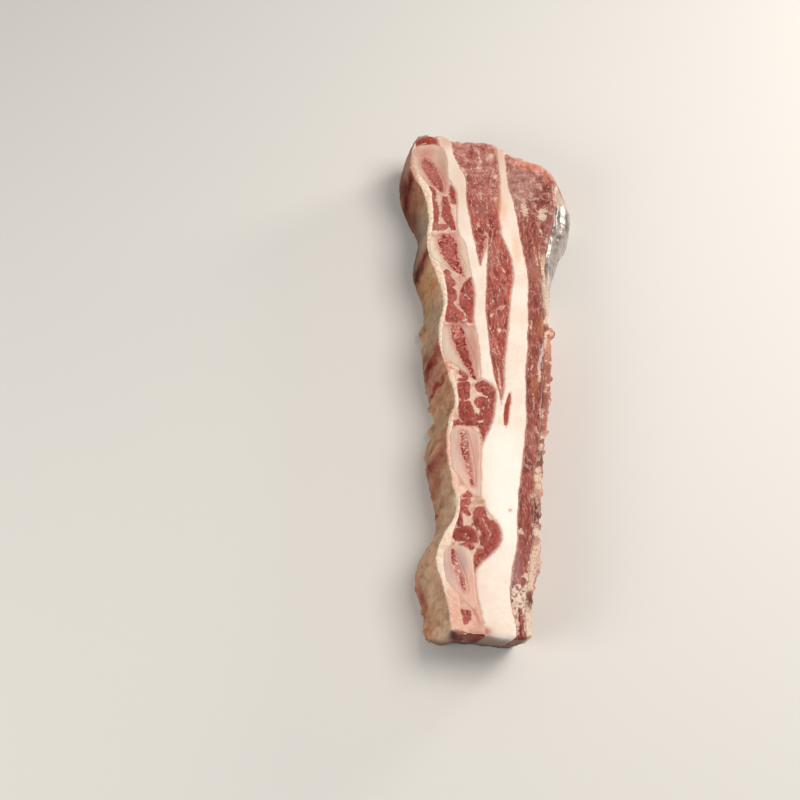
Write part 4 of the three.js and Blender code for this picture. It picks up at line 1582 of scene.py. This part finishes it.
@dataclass
class Fats:
    """The broad seams, the lined chest rim and the ragged outer rim."""

    seam_tones_and_light: tuple[Stain, ...] = (
        # whiter over the near half, where the light falls brighter: painted light
        Stain(2, -62, 9, 34, "#fbf6ec", 0.8),
        # these two darker and pinker towards the far end: own tone and painted shade
        Stain(8, 119, 5, 9, "#dcb39d", 0.8),
        Stain(9, 104, 5, 18, "#e6c7b2", 0.7),
        Stain(-18.6, 128, 5, 4.6, "#dcae97", 0.85),
        # darker towards the far end: own tone and painted shade
        Stain(-13, 100, 6, 22, "#e4c8b4", 0.7),
        Stain(13, 62, 2, 9, "#eeb896", 0.5),
        Stain(-1.6, 65, 1.6, 4.6, "#bf7668", 0.85),
        Stain(7.5, 85, 2.0, 6, "#eeb78c", 0.6),
        Stain(-8.7, -71.4, 1.2, 1.3, "#b98c5c", 0.95),
        Stain(3.1, -75.7, 0.8, 0.8, "#d0a274", 0.9),
        Stain(1.2, -32, 1.4, 2.4, "#eccf9f", 0.6),
        Stain(6.4, 92, 1.2, 5, "#edb98d", 0.8),
        Stain(-12.6, -112, 0.8, 16, "#e6b8a2", 0.5),
        Stain(-8.6, -50, 0.8, 18, "#e9c3ad", 0.6),
        Stain(-10, -130, 3.5, 1.8, "#b5493a", 0.8),
    )
    rim_tones: tuple[Stain, ...] = (
        Stain(-38, 115, 3, 12, "#cf9a84", 0.9),
        Stain(-27, 129, 8, 4, "#cf8a76", 0.6),
        Stain(-26, 127, 3, 2.6, "#a5483b", 0.85),
        Stain(-35.8, 108, 2.2, 8, "#c78b71", 0.75, -0.2),
        Stain(-23, -3, 3.4, 5, "#da957c", 0.9),
        Stain(-20.2, -4, 1.0, 0.8, "#c04a3c", 0.9),
        Stain(-19, -29, 1.6, 4, "#e59c80", 0.7),
        Stain(-23.6, -46, 1.6, 12, "#eab094", 0.85),
        Stain(-22, -81, 3, 7, "#f7e2cf", 0.85),
        Stain(-19, -62, 3.4, 7, "#ebb9a0", 0.8),
        Stain(-17.4, -62.6, 0.5, 0.6, "#b3473b", 0.9),
        Stain(-18.6, -65.4, 0.4, 0.5, "#bb5548", 0.9),
        Stain(-17, -67, 0.7, 0.4, "#ad4338", 0.9),
        Stain(-22, -117, 4, 10, "#e4b29c", 0.9),
        Stain(-19, -125, 6, 7, "#e0a692", 0.8),
        Stain(-27.4, -106, 1.8, 26, "#f3e4cf", 0.85, -0.06),
        Stain(-18, -130.6, 7, 1.2, "#8e3029", 0.85),
        Stain(-20, 20.5, 6, 1.6, "#e3ac98", 0.6),
    )
    lining_tones_and_shade: tuple[Stain, ...] = (
        Stain(121, 20, 6, 12, "#9a5f58", 0.7),
        Stain(97, 14, 7, 17, "#8f5037", 0.85),
        Stain(99, 3, 6, 6, "#6a2a20", 0.7),
        Stain(98, 25.5, 4, 4, "#b87a5c", 0.7),
        Stain(117, 11, 5.4, 10, "#624238", 0.85),
        Stain(111.5, 10, 4, 10, "#5c241d", 0.9),
        Stain(108, 22, 4.6, 8, "#6e1108", 1.0, 0.2),
        Stain(105, 10, 5, 12, "#5c0a04", 1.0, 0.2),
        Stain(80, 20, 13, 10, "#98836d", 0.8),
        # darker towards the foot: painted shade
        Stain(78, 6, 15, 10, "#69564a", 0.85),
        # darker towards the foot: painted shade
        Stain(68, 8, 5, 11, "#6b5a4d", 0.8),
        # darker towards the foot: painted shade
        Stain(92, 7, 5, 8, "#5f3d2c", 0.7),
        Stain(50, 14, 8, 16, "#b98a61", 0.8),
        Stain(48, 26, 8, 4.4, "#d2a680", 0.8),
        # darker towards the foot: painted shade
        Stain(51, 5, 5, 6, "#8f6244", 0.6),
        Stain(45, 22, 2.4, 7, "#b3764a", 0.6),
        Stain(60.6, 22, 3.8, 9, "#7c1508", 1.0, 0.1),
        Stain(59.8, 9, 4.2, 10, "#520702", 1.0),
        Stain(38, 10, 5, 10, "#a68c62", 0.6),
        Stain(27, 20, 9, 9, "#b0957d", 0.8),
        Stain(16, 22, 6, 7, "#a07867", 0.7),
        Stain(37, 26, 5, 4, "#cda68a", 0.8),
        Stain(20, 26, 8, 4, "#bd9d86", 0.7),
        # darker towards the foot: painted shade
        Stain(12, 8, 3.4, 9, "#75503f", 0.7),
        Stain(-2.5, 14, 4.5, 15, "#ab6f5a", 0.8),
        Stain(6.5, 22, 4.5, 8, "#99453b", 0.95),
        Stain(4.5, 11, 3.8, 9, "#76231c", 1.0, 0.1),
        Stain(-7.2, 14, 1.5, 17, "#94342a", 0.95, 0.06),
        Stain(-13, 18, 4, 12, "#ab785a", 0.6),
        Stain(-24, 24, 5, 2.4, "#a65f36", 0.6),
        Stain(-28, 14, 7, 10, "#b58e6e", 0.6),
        Stain(-36, 23, 4, 4, "#a96a4b", 0.6),
        Stain(-38.6, 15, 1.5, 10, "#a9673e", 0.8, 0.1),
        Stain(-46, 23, 6, 6, "#a8573f", 0.85),
        Stain(-46.5, 11, 4.2, 11, "#80312a", 0.95),
        Stain(-57, 6, 5, 8, "#a2614b", 0.7),
        Stain(-54, 13, 4, 5, "#8f3a2a", 0.85),
        Stain(-53, 25, 3, 3, "#c48a62", 0.6),
        Stain(-60, 18, 5, 8, "#b08369", 0.6),
        Stain(-65.4, 16, 1.4, 14, "#9a5a3c", 0.7),
        Stain(-68.6, 4, 1.5, 7, "#9a5230", 0.85, -0.2),
        Stain(-71, 27, 3, 3.4, "#f0dfc8", 0.95),
        Stain(-77, 16, 4, 12, "#b59270", 0.6),
        Stain(-90.6, 26, 0.9, 3, "#8a2a14", 0.9, 0.5),
        Stain(-95, 18, 2.2, 10, "#b47a52", 0.7, 0.25),
        Stain(-103, 24, 4, 4, "#c09270", 0.5),
        Stain(-108, 6, 8, 6, "#a05842", 0.9),
        Stain(-112, 25, 5, 3.5, "#b57252", 0.7),
        Stain(-110, 16, 6, 5, "#c9a384", 0.6),
        Stain(-118, 12, 4, 9, "#b67f58", 0.6),
        Stain(-124.6, 14, 1.8, 15, "#b58058", 0.8),
        Stain(-128, 20, 2.4, 10, "#cfae92", 0.8),
        # paler along the top of the near half: painted sheen
        Stain(-92, 22, 42, 11, "#d4b398", 0.36),
    )
    edge_tones: tuple[Stain, ...] = (
        Stain(12, -92, 14, 48, "#cfa08a", 0.6),
        Stain(21, -20, 5, 26, "#b97f6c", 0.5),
        Stain(16, -66, 3, 6, "#d3a690", 0.6),
        Stain(14.4, -77, 3, 8, "#66261f", 1.0),
        Stain(19.6, -20, 2.4, 7, "#7d362d", 0.85),
        Stain(17.6, -51, 2.2, 5.4, "#6e3b32", 0.95),
        Stain(14, -86, 2, 2.4, "#e3c5b0", 0.85),
        Stain(12.6, -99, 4, 8, "#d5b29c", 0.85),
        Stain(9.4, -117, 2.6, 4.4, "#66261f", 0.95),
        Stain(8.6, -127, 3, 6, "#e3c3ab", 0.8),
        Stain(30, 78, 10, 24, "#94554b", 0.9),
        Stain(25.8, 34, 2.4, 14, "#cdb8aa", 0.9),
        Stain(25.6, 52, 1.6, 7, "#dfb79c", 0.8),
        Stain(25, 6, 3, 7, "#d5957a", 0.85),
    )
    crumb_rows: tuple[tuple[float, float, int, float, float], ...] = (
        (-130, -90, 80, 0.5, 1.0), (-90, -34, 90, 0.4, 0.8), (-34, 30, 90, 0.4, 0.8),
        (30, 80, 40, 0.3, 0.6),
    )

    def build(self) -> list[bpy.types.Object]:
        """Builds the three fats.

        Returns:
            The pieces.
        """
        seam = RawFat(
            "raw seam fat", roughness=(0.36, 0.52), subsurface=0.22, radius_mm=(2.2, 1.5, 1.0), wet=0.1
        )
        lining = ChestLining("lined chest rim", specular=0.06, subsurface=0.04, wet=0.0)
        torn = CrumbFat("torn outer fat", roughness=(0.38, 0.6), subsurface=0.15, wet=0.15)
        return [
            Tissue(
                "seam_fat", Slot.SEAM_FAT, seam.material(), rough_top=(0.07, 5.0), stains=self.seam_tones_and_light,
                near_stains_and_shade=NEAR_SEAM_TONES_AND_SHADE, juts=0.8,
            ).build(),
            ChestRim(
                "rim_fat", Slot.CHEST_RIM, lining.material(), rough_top=(0.07, 2.6), stains=self.rim_tones,
                near_stains_and_shade=NEAR_RIM_TONES_AND_SHADE, wall_stains_and_shade=self.lining_tones_and_shade,
            ).build(),
            OuterRim(
                "outer_rim_fat", Slot.OUTER_RIM, torn.material(), grow=0.5, voxel=0.5, raised=0.26,
                stains=self.edge_tones, crumb_rows=self.crumb_rows,
            ).build(),
        ]


@dataclass
class OuterMembrane:
    """The silverskin over the far outer side."""

    tones: tuple[Stain, ...] = (
        Stain(34.5, 95, 4, 5, "#c4a793", 0.85),
        Stain(30, 64, 3, 12, "#94847a", 0.5),
        Stain(27, 42, 3, 6, "#c3aa9c", 0.85),
    )

    def build(self) -> list[bpy.types.Object]:
        """Builds the membrane.

        Returns:
            The pieces.
        """
        wet = WetMembrane("wet silverskin", roughness=(0.1, 0.2), subsurface=0.1, wet=0.6)
        sheet = BulgingSheet("silverskin", Slot.SILVERSKIN, wet.material(), voxel=0.45, stains=self.tones)
        return [sheet.build()]


# Studio


@dataclass(frozen=True)
class Lamp:
    """A square soft light: its power, where it hangs and the length of its side, in metres."""

    name: str
    watts: float
    place: Triple
    size: float


@dataclass
class Studio:
    """Plain pale floor, soft light from above and behind, and a camera that looks as the photograph does.

    The lamps are a soft key light, a low one that glints on wet membrane and a weak fill.
    """

    lens: float = 58.5
    eye: Triple = (-0.0465, -0.304, 0.5443)
    look: Triple = (0.0042, 0.4806, -0.8769)
    floor_colour: str = "#dedbd6"
    sky_colour: str = "#f4f5f7"
    sky: float = 0.34
    lamp_colour: str = "#fffaf3"
    lamps: tuple[Lamp, ...] = (
        Lamp("key", 5.6, (0.46, 0.08, 0.76), 0.45),
        Lamp("glint", 2.4, (0.615, 0.43, 0.165), 0.22),
        Lamp("fill", 2.2, (-0.6, -0.35, 0.45), 0.4),
    )

    def floor(self) -> None:
        """Lays a wide matte floor."""
        made = bmesh.new()
        bmesh.ops.create_grid(made, x_segments=2, y_segments=2, size=3.0)
        mesh = bpy.data.meshes.new("floor")
        made.to_mesh(mesh)
        made.free()
        material = bpy.data.materials.new("matte floor")
        material.use_nodes = True
        shader = material.node_tree.nodes["Principled BSDF"]
        shader.inputs["Base Color"].default_value = linear(self.floor_colour)
        shader.inputs["Roughness"].default_value = 0.85
        mesh.materials.append(material)
        floor = bpy.data.objects.new("floor", mesh)
        bpy.context.scene.collection.objects.link(floor)

    def put(self, data: bpy.types.ID, place: Triple, look: Vector) -> bpy.types.Object:
        """Puts a light or the camera in the scene.

        Args:
            data: the light or camera.
            place: where it goes.
            look: the direction that it faces.
        Returns:
            Its object.
        """
        made = bpy.data.objects.new(data.name, data)
        made.location = place
        made.rotation_euler = look.to_track_quat("-Z", "Y").to_euler()
        bpy.context.scene.collection.objects.link(made)
        return made

    def light(self) -> None:
        """Lights the strip with a pale sky and the lamps, which all face it."""
        world = bpy.data.worlds.new("studio")
        bpy.context.scene.world = world
        world.use_nodes = True
        sky = world.node_tree.nodes["Background"]
        sky.inputs["Color"].default_value = linear(self.sky_colour)
        sky.inputs["Strength"].default_value = self.sky
        for lamp in self.lamps:
            light = bpy.data.lights.new(lamp.name, "AREA")
            light.energy, light.size, light.color = lamp.watts, lamp.size, linear(self.lamp_colour)[:3]
            self.put(light, lamp.place, -Vector(lamp.place))

    def camera(self) -> None:
        """Sets the camera at the photograph's place."""
        data = bpy.data.cameras.new("camera")
        data.lens, data.sensor_width = self.lens, 36.0
        data.clip_start, data.clip_end = 0.01, 20.0
        bpy.context.scene.camera = self.put(data, self.eye, Vector(self.look))

    def build(self) -> None:
        """Sets the whole studio up."""
        self.floor()
        self.light()
        self.camera()
        bpy.context.scene.view_settings.view_transform = "Standard"


def main() -> None:
    """Builds the sub-assemblies in order."""
    logging.basicConfig(level=logging.INFO, format="%(name)s: %(message)s")
    pieces = []
    for assembly in (RibBones(), RibMuscles(), PlateMuscles(), Fats(), OuterMembrane()):
        pieces += assembly.build()
    Studio().build()
    bpy.context.view_layer.update()
    log.info("%d pieces, %d faces", len(pieces), sum(len(p.data.polygons) for p in pieces))


if __name__ == "__main__":
    main()
